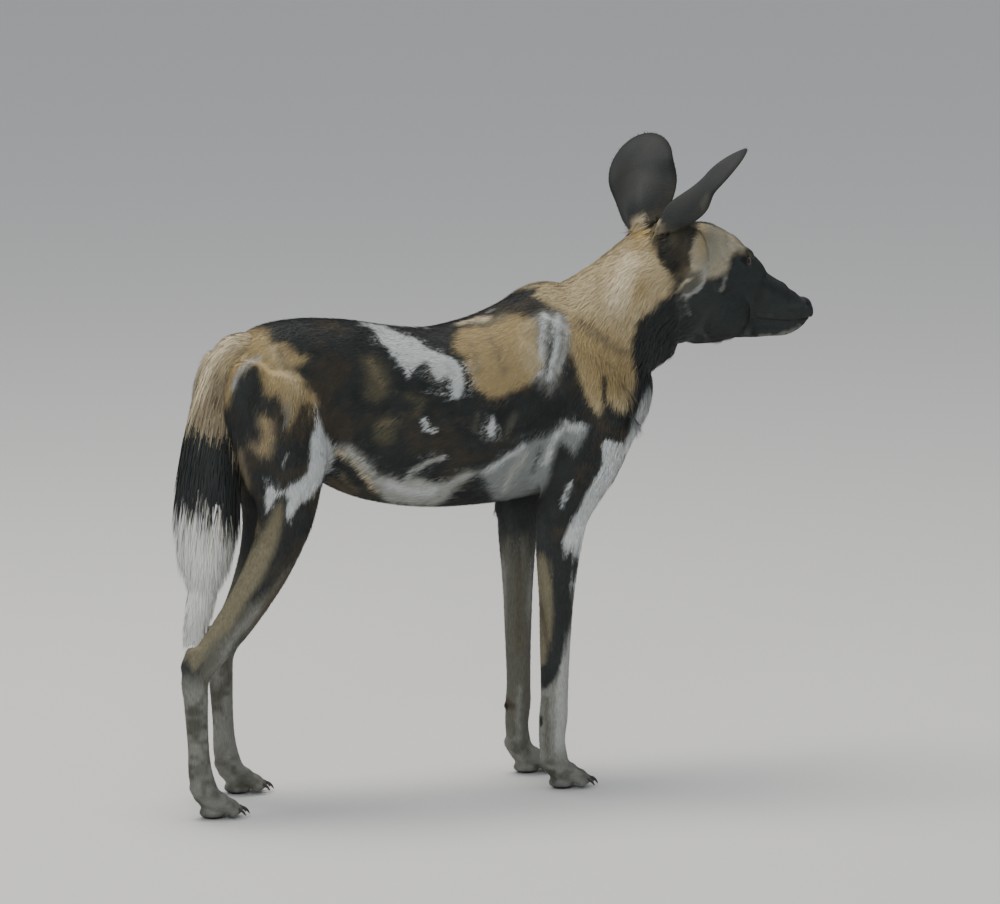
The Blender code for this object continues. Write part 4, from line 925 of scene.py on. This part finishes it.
def outlineDistance(spots, outline, width):  # below zero inside a patch or within a streak
    outline = np.array(outline, float)
    ends = outline if width else np.vstack([outline, outline[:1]])
    best = np.full(len(spots), 1e9)
    inside = np.zeros(len(spots), bool)
    for a, b in zip(ends, ends[1:]):
        along = b - a
        t = np.clip(((spots - a) @ along) / (along @ along), 0, 1)
        best = np.minimum(best, np.hypot(*(spots - a - t[:, None] * along).T))
        if not width:
            crosses = (a[1] > spots[:, 1]) != (b[1] > spots[:, 1])
            at = a[0] + (spots[:, 1] - a[1]) / (along[1] if along[1] else 1e-9) * along[0]
            inside ^= crosses & (spots[:, 0] < at)
    return best - width / 2 if width else np.where(inside, -best, best)


def layMarks(colour, spots, marks, share):
    for name, soft, width, outline in marks:
        outline = np.reshape(outline, (-1, 2))
        low, high = np.min(outline, 0) - soft - width / 2, np.max(outline, 0) + soft + width / 2
        near = np.nonzero(((spots > low) & (spots < high)).all(1))[0]
        if len(near):
            edge = soft * 0.8
            cover = smoothStep(-outlineDistance(spots[near], outline, width), -edge, edge) * share[near]
            colour[near] += (hairColours[name] - colour[near]) * cover[:, None]


def markedColour(points):
    wobble = np.stack([noiseAt(points, 0.016, 3), noiseAt(points, 0.016, 5)], 1) * 1.6
    wobble += np.stack([noiseAt(points, 0.0045, 7), noiseAt(points, 0.006, 9)], 1) * 1.3
    seen = drawn(points) + wobble
    mirrored = drawn(folded(points) * np.array([1, -1, 1])) + wobble
    dusk = smoothStep(noiseAt(points, 0.034, 13) + 0.5 * noiseAt(points, 0.011, 15), 0.05, 0.75)[:, None]
    colour = hairColours["ink"] * (1 + 0.25 * noiseAt(points, 0.02, 17))[:, None]
    colour += (hairColours["umber"] - colour) * dusk * 0.55
    onLeft = smoothStep(points[:, 1] + noiseAt(points, 0.008, 11) * 0.01, -0.004, 0.004)
    isLeg = smoothStep(-points[:, 2], -0.43, -0.39) * (np.abs(points[:, 0] - 0.05) > 0.12)
    farLeg = isLeg * (points[:, 1] > 0.01)
    layMarks(colour, mirrored, leftMarks, onLeft * (1 - farLeg))
    layMarks(colour, seen, rightMarks, (1 - onLeft))
    layMarks(colour, mirrored, throatMarks, np.ones(len(points)))
    legBase = hairColours["dusk"] * 0.9
    low = farLeg * smoothStep(-points[:, 2], -0.36, -0.28)
    colour += (legBase - colour) * low[:, None]
    layMarks(colour, seen, farLegMarks, np.where(points[:, 1] > 0.0, 1.0, 0.0))
    onHead = smoothStep(points[:, 0] + 0.3 * (points[:, 2] - 0.7), 0.395, 0.425)
    layMarks(colour, mirrored, headMarks, onHead)
    blaze = np.exp(-(points[:, 1] / 0.0065) ** 2) * smoothStep(points[:, 0], 0.4, 0.47) * (points[:, 2] > 0.71)
    colour += (hairColours["slate"] - colour) * (blaze * 0.85)[:, None]
    hind = points[:, 0] < 0.0
    socks = smoothStep(-points[:, 2], np.where(hind, -0.225, -0.075), np.where(hind, -0.185, -0.035))
    speckle = smoothStep(noiseAt(points, 0.022, 31) + 0.7 * noiseAt(points, 0.007, 33), -0.8, 0.9)[:, None]
    sockBase = hairColours["dusk"] * 0.75
    sock = sockBase + (hairColours["ash"] - sockBase) * speckle
    colour += (sock - colour) * (socks * 0.85)[:, None]
    return colour


earPlaces = {side: np.array(earMatrix(side).inverted()) for side in (left, right)}


def earShare(points):  # how far a point is out on an ear, and which way the ear lies there
    share = np.zeros(len(points))
    lie = np.zeros((len(points), 3))
    inner = np.zeros(len(points))
    rim = np.zeros(len(points))
    for side in (left, right):
        local = points @ earPlaces[side][:3, :3].T + earPlaces[side][:3, 3]
        relief = earRelief(local[:, 1], local[:, 2])
        close = np.exp(-((local[:, 0] - relief) / (0.0035 + 0.01 * smoothStep(-local[:, 2], 0.045, 0.085))) ** 2)
        tall = np.where(local[:, 2] > 0, ears["above"], ears["below"])
        reach = np.hypot(local[:, 1] / ears["halfWidth"], local[:, 2] / tall)
        out = close * (reach < 1.08) * smoothStep(local[:, 2], -0.098, -0.08)
        away = local.copy()
        away[:, 0] = 0
        away[:, 2] += 0.075
        back = unit(away) @ np.array(earMatrix(side))[:3, :3].T
        better = out > share
        share = np.where(better, out, share)
        lie[better] = back[better]
        inner = np.where(better, smoothStep(local[:, 0] - relief, -0.0004, 0.0006), inner)
        rim = np.where(better, reach, rim)
    return share, lie, inner, rim


def earColour(colour, points):
    share, _, inner, rim = earShare(points)
    blotch = 0.5 + 0.5 * noiseAt(points, 0.022, 51)
    outside = hairColours["earSlate"] * (0.85 + 0.4 * blotch - 0.6 * smoothStep(rim, 0.84, 1.0))[:, None]
    root = smoothStep(rim, 0.5, 0.9) * smoothStep(points[:, 0] - 0.9 * (points[:, 2] - 0.8), 0.4, 0.44)
    outside += (hairColours["earBrown"] - outside) * (0.55 * root)[:, None]
    # inside the ear the brown is painted darker towards the deep middle of the bowl: painted shade
    inside = hairColours["earBrown"] * (0.3 + 0.35 * smoothStep(rim, 0.5, 1.0))[:, None]
    earHair = outside * (1 - inner[:, None]) + inside * inner[:, None]
    return colour + (earHair - colour) * share[:, None]


def colourAttribute(mesh, name, colours):
    attribute = mesh.attributes.new(name, "FLOAT_COLOR", "POINT")
    full = np.ones((len(colours), 4), np.float32)
    full[:, :3] = colours
    attribute.data.foreach_set("color", full.ravel())


def numberAttribute(mesh, name, values):
    attribute = mesh.attributes.new(name, "FLOAT", "POINT")
    attribute.data.foreach_set("value", values.astype(np.float32))


def noseShare(points):
    way = np.linalg.norm((points - np.array([0.633, 0.0, 0.657])) / np.array([0.0135, 0.0175, 0.012]), axis=1)
    return 1 - smoothStep(way, 0.92, 1.06)


def lidShare(points):
    best = np.full(len(points), 1e9)
    for side in (left, right):
        look, outer, up = [np.array(v) for v in eyeAxes(side)]
        gone = points - np.array(onSide(eyePlace, side))
        wide = gone @ outer / eyes["openWide"]
        high = gone @ up / np.where(gone @ up > 0, eyes["openUp"], eyes["openDown"])
        best = np.where(gone @ look > 0, np.minimum(best, np.hypot(wide, high)), best)
    return 1 - smoothStep(best, 1.25, 1.75)


def padShare(points):  # the soles and the pad behind each wrist are bare
    wrist = np.array([0.196, 0.063, 0.098])
    away = np.linalg.norm(folded(points) - wrist, axis=1)
    return np.maximum(1 - smoothStep(points[:, 2], 0.004, 0.007), 1 - smoothStep(away, 0.006, 0.009))


def bareShare(points, under=0.0):  # the hairless nose, lids and pads; tufts begin a little above the pads
    best = np.maximum(noseShare(points), lidShare(points))
    return np.maximum(best, padShare(points - np.array([0, 0, under])))


points = pointsOf(skin)
skinColour = earColour(markedColour(points), points)
bare = bareShare(points)
skinColour += (hairColours["leather"] - skinColour) * bare[:, None]
colourAttribute(skin.data, "hair", skinColour)
numberAttribute(skin.data, "bare", bare)
lieThere = coatAt(points)[0]
numberAttribute(skin.data, "lieDown", np.abs(lieThere[:, 2]))
report("marked")


# the coat: solid tufts that follow its lie

def skinTriangles():
    mesh = skin.data
    mesh.calc_loop_triangles()
    count = len(mesh.loop_triangles)
    corners = np.empty(count * 3, np.int64)
    loops = np.empty(count * 3, np.int64)
    mesh.loop_triangles.foreach_get("vertices", corners)
    mesh.loop_triangles.foreach_get("loops", loops)
    flat = np.empty(len(mesh.loops) * 2, np.float32)
    mesh.uv_layers["OFBake"].data.foreach_get("uv", flat)
    return corners.reshape(-1, 3), flat.reshape(-1, 2)[loops].reshape(-1, 3, 2)


skinCorners, skinUvs = skinTriangles()
skinNormals = normalsOf(skin)
skinSpots = points[skinCorners]
skinEdges = skinSpots[:, 1:] - skinSpots[:, :1]
skinAreas = np.linalg.norm(np.cross(skinEdges[:, 0], skinEdges[:, 1]), axis=1) / 2
middles = skinSpots.mean(1)
midLie, midLong, midDeep, midWide = coatAt(middles)
midEar = earShare(middles)[0]
midBare = bareShare(middles, 0.003)
earFold = np.linalg.norm(folded(middles) - np.array(ears["fold"]), axis=1)
midBare = np.maximum(midBare, 1 - smoothStep(earFold, 0.01, 0.016))  # no tufts in the fold behind an ear


def rootsOn(density, count):  # evenly spread places on the skin, by a density for each triangle
    total = np.cumsum(skinAreas * density)
    steps = (np.arange(count) + rng.random(count)) / count * total[-1]
    face = np.minimum(np.searchsorted(total, steps), len(total) - 1)
    a, b = np.sqrt(rng.random(count)), rng.random(count)
    share = np.stack([1 - a, a * (1 - b), a * b], 1)
    place = (skinSpots[face] * share[:, :, None]).sum(1)
    normal = unit((skinNormals[skinCorners[face]] * share[:, :, None]).sum(1))
    uv = (skinUvs[face] * share[:, :, None]).sum(1)
    return place, normal, uv


tuftForms = {  # rings of three corners before the tip: share of the length, share of the width
    "short": [(0.0, 1.0)],
    "long": [(0.0, 0.85), (0.45, 1.0)],
}
tuft = {
    "sunk": 0.08,  # share of the length that is under the skin
    "arch": 0.62, "tipLift": 0.85, "keel": 0.22, "roll": 0.15,
    "halfPatch": 0.0015,  # half the side of its patch on the unwrap
}


def makeTufts(name, form, place, normal, uv, lie, long, wide, lift, colour, curl=0.0, soft=0.35, loose=0.09):
    rings = tuftForms[form]
    count, each, last = len(place), 3 * len(rings) + 1, 3 * len(rings)
    lie = unit(lie - normal * (lie * normal).sum(1)[:, None])
    across = np.cross(normal, lie)
    roll = rng.normal(0, tuft["roll"], count)[:, None]
    across, top = across * np.cos(roll) + normal * np.sin(roll), normal * np.cos(roll) - across * np.sin(roll)
    sway = rng.normal(0, loose, count)[:, None] * across
    verts = np.zeros((count, each, 3))
    facing = np.zeros((count, each, 3))
    long3, wide3, lift3 = long[:, None], wide[:, None], lift[:, None]
    for i, (share, width) in enumerate(rings):
        rise = lift3 * math.sin(share * math.pi * tuft["arch"]) - tuft["sunk"] * long3 * (share == 0)
        centre = place + lie * long3 * share + normal * rise + sway * long3 * share ** 2
        centre[:, 2] -= curl * long * share ** 2
        for k, (aside, deep) in enumerate(((-0.5, 0.0), (0.5, 0.0), (0.0, -tuft["keel"]))):
            verts[:, 3 * i + k] = centre + (across * aside + top * deep) * wide3 * width
            facing[:, 3 * i + k] = top + across * (2 * aside * soft)
    verts[:, last] = place + lie * long3 + normal * lift3 * tuft["tipLift"] + sway * long3
    verts[:, last, 2] -= curl * long
    facing[:, last] = top + lie * 0.15
    verts[:, :, 2] = np.maximum(verts[:, :, 2], floorLevel)
    faces = [(0, 2, 1)]
    for i in range(len(rings) - 1):
        for k in range(3):
            n = (k + 1) % 3
            a, b, c, d = 3 * i + k, 3 * i + n, 3 * i + 3 + n, 3 * i + 3 + k
            faces += [(a, b, c), (a, c, d)]
    faces += [(last - 3 + k, last - 3 + (k + 1) % 3, last) for k in range(3)]
    faces = np.array(faces)
    flow = np.linalg.det(np.stack([verts[:, k] - verts[:, 0] for k in (1, 2, last)], 1))
    every = faces[None] + (np.arange(count) * each)[:, None, None]
    every[flow < 0] = every[flow < 0][:, :, ::-1]
    every = every.reshape(-1, 3)
    mesh = bpy.data.meshes.new(name)
    mesh.vertices.add(count * each)
    mesh.vertices.foreach_set("co", verts.astype(np.float32).ravel())
    mesh.loops.add(len(every) * 3)
    mesh.loops.foreach_set("vertex_index", every.astype(np.int32).ravel())
    mesh.polygons.add(len(every))
    mesh.polygons.foreach_set("loop_start", np.arange(0, len(every) * 3, 3, dtype=np.int32))
    mesh.update(calc_edges=True)
    tone = np.linspace(0.92, 1.06, each)
    colourAttribute(mesh, "hair", (colour[:, None, :] * tone[None, :, None]).reshape(-1, 3))
    half = tuft["halfPatch"]
    spread = np.array([((-half, half, 0.0)[k % 3], -half + 2 * half * (k // 3) / len(rings)) for k in range(each)])
    spots = np.clip(uv[:, None, :] + spread[None], 0, 1).reshape(-1, 2)
    layer = mesh.uv_layers.new(name="OFBake")
    layer.data.foreach_set("uv", spots[every.ravel()].astype(np.float32).ravel())
    mesh.polygons.foreach_set("use_smooth", np.ones(len(every), bool))
    mesh.normals_split_custom_set_from_vertices(unit(facing).reshape(-1, 3).astype(np.float32))
    obj = bpy.data.objects.new(name, mesh)
    bpy.context.scene.collection.objects.link(obj)
    return obj


def jittered(colour, places):  # each tuft a little lighter or darker, in small clumps
    count = len(colour)
    clump = 0.07 * noiseAt(places, 0.005, 41) + 0.06 * noiseAt(places, 0.016, 43)
    tone = np.exp(rng.normal(0, 0.07, count) + clump)[:, None]
    warm = 1 + rng.normal(0, 0.03, count)[:, None] * np.array([1.0, 0.0, -1.2])
    return np.clip(colour * tone * warm, 0.004, 0.9)


coatPieces = []
isHead = smoothStep(middles[:, 0] + 0.3 * (middles[:, 2] - 0.7), 0.405, 0.43)
isFront = smoothStep(middles[:, 0], 0.24, 0.26)
isAbove = smoothStep(middles[:, 2], 0.43, 0.45)
isNeck = isFront * (1 - isHead) * isAbove
isHigh = smoothStep(middles[:, 2], 0.385, 0.405)
isRump = 1 - smoothStep(middles[:, 0], -0.13, -0.11)
isTrunk = (1 - isFront) * (1 - isRump) + isFront * (1 - isAbove)
region = {  # share of each triangle of the skin, form of tuft, how many, how high and how wide they are
    "coatHead": (isHead * (midEar < 0.2), "short", 72000, 1.0, 0.8),
    "coatNeck": (isNeck * (midEar < 0.2), "long", 34000, 1.0, 0.55),
    "coatTrunk": (isTrunk * isHigh, "short", 90000, 1.0, 0.62),
    "coatRump": (isRump * isHigh, "short", 36000, 1.0, 0.62),
    "coatLegs": (1 - isHigh, "short", 46000, 0.9, 0.7),
    "coatEars": ((midEar >= 0.2) * 1.0, "short", 12000, 1.0, 1.0),
}
mostTriangles = 190000
for name, (share, form, count, tall, slim) in region.items():
    place, normal, uv = rootsOn(share * (1 - midBare) / (midLong * midWide), count)
    lie, long, deep, wide = coatAt(place)
    if name == "coatEars":
        lie = earShare(place)[1]
        long, wide, deep = [np.full(count, ears[key]) for key in ("hairLong", "hairWide", "hairDeep")]
    else:
        lie = lie + rng.normal(0, 0.06, (count, 3))
    size = rng.uniform(0.7, 1.2, count)
    middle = place + unit(lie - normal * (lie * normal).sum(1)[:, None]) * (long * 0.4)[:, None]
    colour = jittered(earColour(markedColour(middle), place), middle)
    lift = deep * rng.uniform(0.3, 0.8, count) * tall
    wide = wide * rng.uniform(0.75, 1.25, count) * slim
    pieces = math.ceil(count * (6 * len(tuftForms[form]) - 2) / mostTriangles)
    order = rng.permutation(count)
    for k in range(pieces):
        part = order[k::pieces]
        coatPieces.append(makeTufts(f"{name}{k + 1}", form, place[part], normal[part], uv[part], lie[part],
                                    (long * size)[part], wide[part], lift[part], colour[part]))
    report(f"{name}, {count} tufts")


# the tail: a core under long locks that make a full brush

tail = {
    "axis": [(-0.2, 0.64, 0.021), (-0.234, 0.636, 0.023), (-0.254, 0.6, 0.0215), (-0.264, 0.55, 0.0205),
             (-0.271, 0.49, 0.0215), (-0.276, 0.425, 0.0225), (-0.281, 0.355, 0.02), (-0.291, 0.29, 0.011)],
    "reach": [(0.0, 0.026), (0.2, 0.029), (0.38, 0.037), (0.62, 0.05), (0.8, 0.054), (0.92, 0.04), (1.0, 0.012)],
    "tip": 0.222, "locks": 18900,
    "shortest": 0.02, "longer": 0.062, "narrowest": 0.0015, "wider": 0.001,
    "rootDepth": 0.0045, "strayColour": 0.007,
}
tailMarks = [
    ("cream", 8, 14, [240, 334, 222, 350, 210, 376, 198, 402, 188, 430]),
    ("buff", 8, 10, [250, 340, 232, 366]),
    ("cream", 6, 11, [236, 388, 237, 420, 236, 444]),
    ("haze", 4, 3, [242, 374, 243, 410, 242, 440]),
    ("umber", 3, 4, [218, 394, 220, 400]),
    ("ink", 5, 0, [150, 436, 190, 430, 212, 430, 226, 431, 232, 446, 240, 462, 256, 474, 290, 490, 290, 560, 248, 548,
         239, 536, 226, 512, 212, 502, 196, 503, 178, 505, 150, 508]),
    ("drab", 6, 6, [242, 450, 250, 490, 254, 526]),
    # the white tip of the tail, painted in the brighter white that stands for sunlight
    ("sunlitWhite", 5, 0, [140, 507, 178, 505, 192, 503, 206, 501, 222, 510, 236, 532, 250, 548, 290, 566, 290, 700,
         140, 700]),
    ("ash", 4, 2, [208, 500, 212, 522]),
]
tailRows = throughRows(tail["axis"], 12)


def tailAt(share):
    place = np.clip(share, 0, 1) * (len(tailRows) - 1)
    return np.stack([np.interp(place, np.arange(len(tailRows)), tailRows[:, k]) for k in range(3)], 1)


bm = bmesh.new()
addTube(bm, [(x, 0, z, r - 0.004, r - 0.004, r - 0.004) for x, z, r in tail["axis"]], around=28, steps=10)
tailCore = objectFrom("tailCore", bm)


def tailColour(points):
    wobble = np.stack([noiseAt(points, 0.01, 21), noiseAt(points, 0.01, 23)], 1) * 4
    colour = hairColours["drab"] * (1.2 + 0.2 * noiseAt(points, 0.015, 25))[:, None]
    layMarks(colour, drawn(points) + wobble, tailMarks, np.ones(len(points)))
    return colour


count = tail["locks"]
share = 0.02 + 0.95 * (np.arange(count) + rng.random(count)) / count
spot = tailAt(share)
ahead = tailAt(np.minimum(share + 0.02, 1.0)) - tailAt(share - 0.02)
along = unit(np.stack([ahead[:, 0], np.zeros(count), ahead[:, 1]], 1))
angle = np.arange(count) * math.pi * (3 - math.sqrt(5))
sideways = np.array([0.0, 1.0, 0.0])
out = sideways * np.cos(angle)[:, None] + np.cross(along, sideways) * np.sin(angle)[:, None]
centre = np.stack([spot[:, 0], np.zeros(count), spot[:, 1]], 1)
place = centre + out * (spot[:, 2] - tail["rootDepth"])[:, None]
long = (tail["shortest"] + tail["longer"] * smoothStep(share, 0.12, 0.55)) * rng.uniform(0.75, 1.15, count)
long = np.minimum(long, np.maximum(0.02, place[:, 2] - tail["tip"] - 0.02 * rng.random(count)))
reachAt = np.interp(np.minimum(share + long / 0.47, 1.0), *zip(*tail["reach"]))
lift = np.maximum(0.003, reachAt - spot[:, 2] + 0.004) * rng.uniform(0.6, 1.02, count)
uv = np.stack([0.02 + 0.96 * ((angle / (2 * math.pi)) % 1), 0.02 + 0.96 * share], 1)
middle = place + along * (long * 0.5)[:, None]
aside = along * rng.normal(0, tail["strayColour"], count)[:, None]
colour = jittered(tailColour(middle + aside + out * (lift * 0.5)[:, None]), middle)
wide = tail["narrowest"] + tail["wider"] * smoothStep(share, 0.1, 0.5)
coatPieces.append(makeTufts("tailBrush", "long", place, out, uv, along, long, wide, lift, colour,
                            curl=0.04, soft=0.12, loose=0.05))
corePoints = pointsOf(tailCore)
colourAttribute(tailCore.data, "hair", tailColour(corePoints))
numberAttribute(tailCore.data, "bare", np.zeros(len(corePoints)))
numberAttribute(tailCore.data, "lieDown", np.ones(len(corePoints)))
report("tail")


# eyes

def makeEye(name, side):
    centre = onSide(eyePlace, side)
    look = eyeAxes(side)[0]
    bpy.ops.object.select_all(action="DESELECT")
    bpy.ops.mesh.primitive_uv_sphere_add(segments=64, ring_count=40, radius=eyes["radius"], location=(0, 0, 0))
    eye = bpy.context.object
    eye.name = name
    turn = look.to_track_quat("Z", "Y").to_matrix().to_4x4()
    spots = pointsOf(eye)
    away = np.arccos(np.clip(spots[:, 2] / eyes["radius"], -1, 1))
    spots *= (1 + 0.045 * (1 - smoothStep(away, 0.35, 0.8)))[:, None]
    setPoints(eye, spots)
    numberAttribute(eye.data, "away", away)
    eye.data.transform(Matrix.Translation(centre) @ turn)
    bpy.ops.object.shade_smooth()
    return eye


eyePieces = [makeEye("eyeLeft", left), makeEye("eyeRight", right)]


# claws

clawShape = {
    "inToe": 0.002, "height": 0.0132,
    "path": [(0, 0, 0), (0.007, 0, 0.0012), (0.013, 0, -0.0022), (0.0172, 0, -0.0078)],
    "shares": (0, 0.3, 0.7, 1), "radii": (0.003, 0.0028, 0.0018, 0.0004),
}


def makeClaws(name, x, y):
    claws = []
    for out, reach, spread in toes():
        root = Vector((x + reach - clawShape["inToe"], y + out * spread, clawShape["height"]))
        path = throughRows([root + Vector(step) for step in clawShape["path"]], 5)
        radii = np.interp(np.linspace(0, 1, len(path)), clawShape["shares"], clawShape["radii"])
        claws.append(pathTube("claw", [Vector(p) for p in path], radii))
    bpy.ops.object.select_all(action="DESELECT")
    for claw in claws:
        claw.select_set(True)
    bpy.context.view_layer.objects.active = claws[0]
    bpy.ops.object.join()
    claws[0].name = name
    bpy.ops.object.shade_smooth()
    return claws[0]


clawPieces = [makeClaws(f"{which}Claws{word}", *place) for side, word in ((left, "Left"), (right, "Right"))
              for which, place in zip(("fore", "hind"), footPlaces(side))]


# materials

def newMaterial(name):
    made = bpy.data.materials.new(name)
    made.use_nodes = True
    tree = made.node_tree
    return made, tree, tree.nodes["Principled BSDF"]


def node(tree, kind, settings=(), **inputs):  # a new node: its settings, then numbers or sockets for its inputs
    made = tree.nodes.new("ShaderNode" + kind)
    for name, value in dict(settings).items():
        setattr(made, name, value)
    feed(tree, made, inputs)
    return made.outputs


def feed(tree, made, inputs):  # in a name _ stands for a space, and _2 is the input with that number
    for name, value in inputs.items():
        socket = made.inputs[int(name[1:]) if name[1:].isdigit() else name.replace("_", " ")]
        if isinstance(value, bpy.types.NodeSocket):
            tree.links.new(value, socket)
        else:
            socket.default_value = value


def stored(tree, name):
    return node(tree, "Attribute", {"attribute_name": name})


def coatMaterial():
    made, tree, shader = newMaterial("coatHair")
    place = node(tree, "TexCoord")["Object"]
    fine = node(tree, "TexNoise", Scale=900, Detail=2, Vector=place)["Fac"]
    shader.inputs["Roughness"].default_value = 0.66
    shader.inputs["Specular IOR Level"].default_value = 0.24
    feed(tree, shader, {"Base Color": stored(tree, "hair")["Color"],
                        "Normal": node(tree, "Bump", Strength=0.25, Distance=0.0002, Height=fine)["Normal"]})
    return made


def skinMaterial():
    made, tree, shader = newMaterial("skinAndShortHair")
    place = node(tree, "TexCoord")["Object"]
    bare = stored(tree, "bare")["Fac"]
    streaks = []
    for scale in ((120, 700, 700), (700, 700, 120)):  # along the body and down the legs
        stretched = node(tree, "Mapping", Scale=scale, Vector=place)["Vector"]
        streaks.append(node(tree, "TexNoise", Scale=1.0, Detail=3, Vector=stretched)["Fac"])
    mixing = {"data_type": "FLOAT"}
    strands = node(tree, "Mix", mixing, _0=stored(tree, "lieDown")["Fac"], _2=streaks[0], _3=streaks[1])[0]
    grain = node(tree, "TexVoronoi", Scale=700, Vector=place)["Distance"]
    height = node(tree, "Mix", mixing, _0=bare, _2=strands, _3=grain)[0]
    tone = node(tree, "MapRange", From_Min=0.3, From_Max=0.7, To_Min=0.72, To_Max=1.18, Value=strands)["Result"]
    toned = node(tree, "VectorMath", {"operation": "SCALE"}, _0=stored(tree, "hair")["Color"], Scale=tone)["Vector"]
    rough = node(tree, "MapRange", To_Min=0.66, To_Max=0.34, Value=bare)["Result"]
    shader.inputs["Specular IOR Level"].default_value = 0.2
    feed(tree, shader, {"Base Color": toned, "Roughness": rough,
                        "Normal": node(tree, "Bump", Strength=0.7, Distance=0.0008, Height=height)["Normal"]})
    return made


def ramped(tree, factor, stops):  # colours along a ramp, by the factor
    ramp = tree.nodes.new("ShaderNodeValToRGB")
    tree.links.new(factor, ramp.inputs["Fac"])
    elements = ramp.color_ramp.elements
    elements[0].position, elements[0].color = stops[0][0], (*stops[0][1], 1)
    elements[1].position, elements[1].color = stops[-1][0], (*stops[-1][1], 1)
    for position, colour in stops[1:-1]:
        elements.new(position).color = (*colour, 1)
    return ramp.outputs["Color"]


def eyeMaterial():
    made, tree, shader = newMaterial("wetEye")
    feed(tree, shader, {"Base Color": ramped(tree, stored(tree, "away")["Fac"], eyes["tones"])})
    shader.inputs["Roughness"].default_value = 0.14
    shader.inputs["Specular IOR Level"].default_value = 0.25
    shader.inputs["Coat Weight"].default_value = 0.25
    shader.inputs["Coat Roughness"].default_value = 0.03
    return made


def clawMaterial():
    made, tree, shader = newMaterial("claw")
    place = node(tree, "TexCoord")["Object"]
    stretched = node(tree, "Mapping", Scale=(120, 900, 500), Vector=place)["Vector"]
    grain = node(tree, "TexNoise", Scale=1.0, Vector=stretched)["Fac"]
    stops = [(0.0, (0.012, 0.01, 0.009)), (1.0, (0.06, 0.048, 0.038))]
    feed(tree, shader, {"Base Color": ramped(tree, grain, stops)})
    shader.inputs["Roughness"].default_value = 0.34
    return made


def dress(obj, material):
    obj.data.materials.clear()
    obj.data.materials.append(material)
    obj.data.transform(Matrix.Translation(origin))
    obj.data.update()
    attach(obj, "root")


hairOnTufts, shortHair, wetEye, clawHorn = coatMaterial(), skinMaterial(), eyeMaterial(), clawMaterial()
for obj in [skin, tailCore]:
    obj.data.polygons.foreach_set("use_smooth", np.ones(len(obj.data.polygons), bool))
dress(skin, shortHair)
dress(tailCore, shortHair)
for piece in coatPieces:
    dress(piece, hairOnTufts)
for piece in eyePieces:
    dress(piece, wetEye)
for piece in clawPieces:
    dress(piece, clawHorn)
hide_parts("head", "neck", "torso", "ear_left", "ear_right", "foreleg_left", "foreleg_right",
            "hindleg_left", "hindleg_right", "forefoot_left", "forefoot_right", "hindfoot_left", "hindfoot_right")
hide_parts("tail")
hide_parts("eye_left")
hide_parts("eye_right")
report("dressed")


# floor, light and camera

stage = {"floor": 80.0, "floorColour": (0.7, 0.69, 0.67), "sky": (0.86, 0.9, 0.96), "skyStrength": 0.55}
bpy.ops.mesh.primitive_plane_add(size=stage["floor"], location=(0, 0, 0))
floor = bpy.context.object
floor.name = "floor"
floorPaint, _, floorShader = newMaterial("paleFloor")
floorShader.inputs["Base Color"].default_value = (*stage["floorColour"], 1)
floorShader.inputs["Roughness"].default_value = 0.9
floor.data.materials.append(floorPaint)
floor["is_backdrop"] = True

world = bpy.data.worlds.new("soft sky")
world.use_nodes = True
world.node_tree.nodes["Background"].inputs["Color"].default_value = (*stage["sky"], 1)
world.node_tree.nodes["Background"].inputs["Strength"].default_value = stage["skyStrength"]
bpy.context.scene.world = world


def softLight(name, place, aim, size, power, colour):
    lamp = bpy.data.lights.new(name, "AREA")
    lamp.shape = "DISK"
    lamp.size = size
    lamp.energy = power
    lamp.color = colour
    obj = bpy.data.objects.new(name, lamp)
    bpy.context.scene.collection.objects.link(obj)
    obj.location = place
    obj.rotation_euler = (Vector(aim) - Vector(place)).to_track_quat("-Z", "Y").to_euler()


softLight("overhead", (-0.6, 0.8, 4.2), (0, 0, 0.5), 2.6, 150, (1.0, 0.96, 0.9))
softLight("fromCamera", (-2.6, -4.2, 2.2), (0, 0, 0.5), 2.8, 90, (0.95, 0.98, 1.0))

camera = {"turn": -23, "above": 9, "distance": 14.0, "lens": 360, "aim": (0.1634, 0.0, 0.4738)}
cameraData = bpy.data.cameras.new("camera")
cameraObject = bpy.data.objects.new("camera", cameraData)
bpy.context.scene.collection.objects.link(cameraObject)
a, e = math.radians(camera["turn"]), math.radians(camera["above"])
back = Vector((math.sin(a) * math.cos(e), -math.cos(a) * math.cos(e), math.sin(e)))
cameraObject.location = Vector(camera["aim"]) + origin + back * camera["distance"]
cameraObject.rotation_euler = (-back).to_track_quat("-Z", "Y").to_euler()
cameraData.lens = camera["lens"]
cameraData.sensor_width = 36
cameraData.clip_end = 200
bpy.context.scene.camera = cameraObject

total = sum(len(p.vertices) - 2 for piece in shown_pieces() if piece.type == "MESH" for p in piece.data.polygons)
print("triangles in all:", total)
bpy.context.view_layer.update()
report("done")
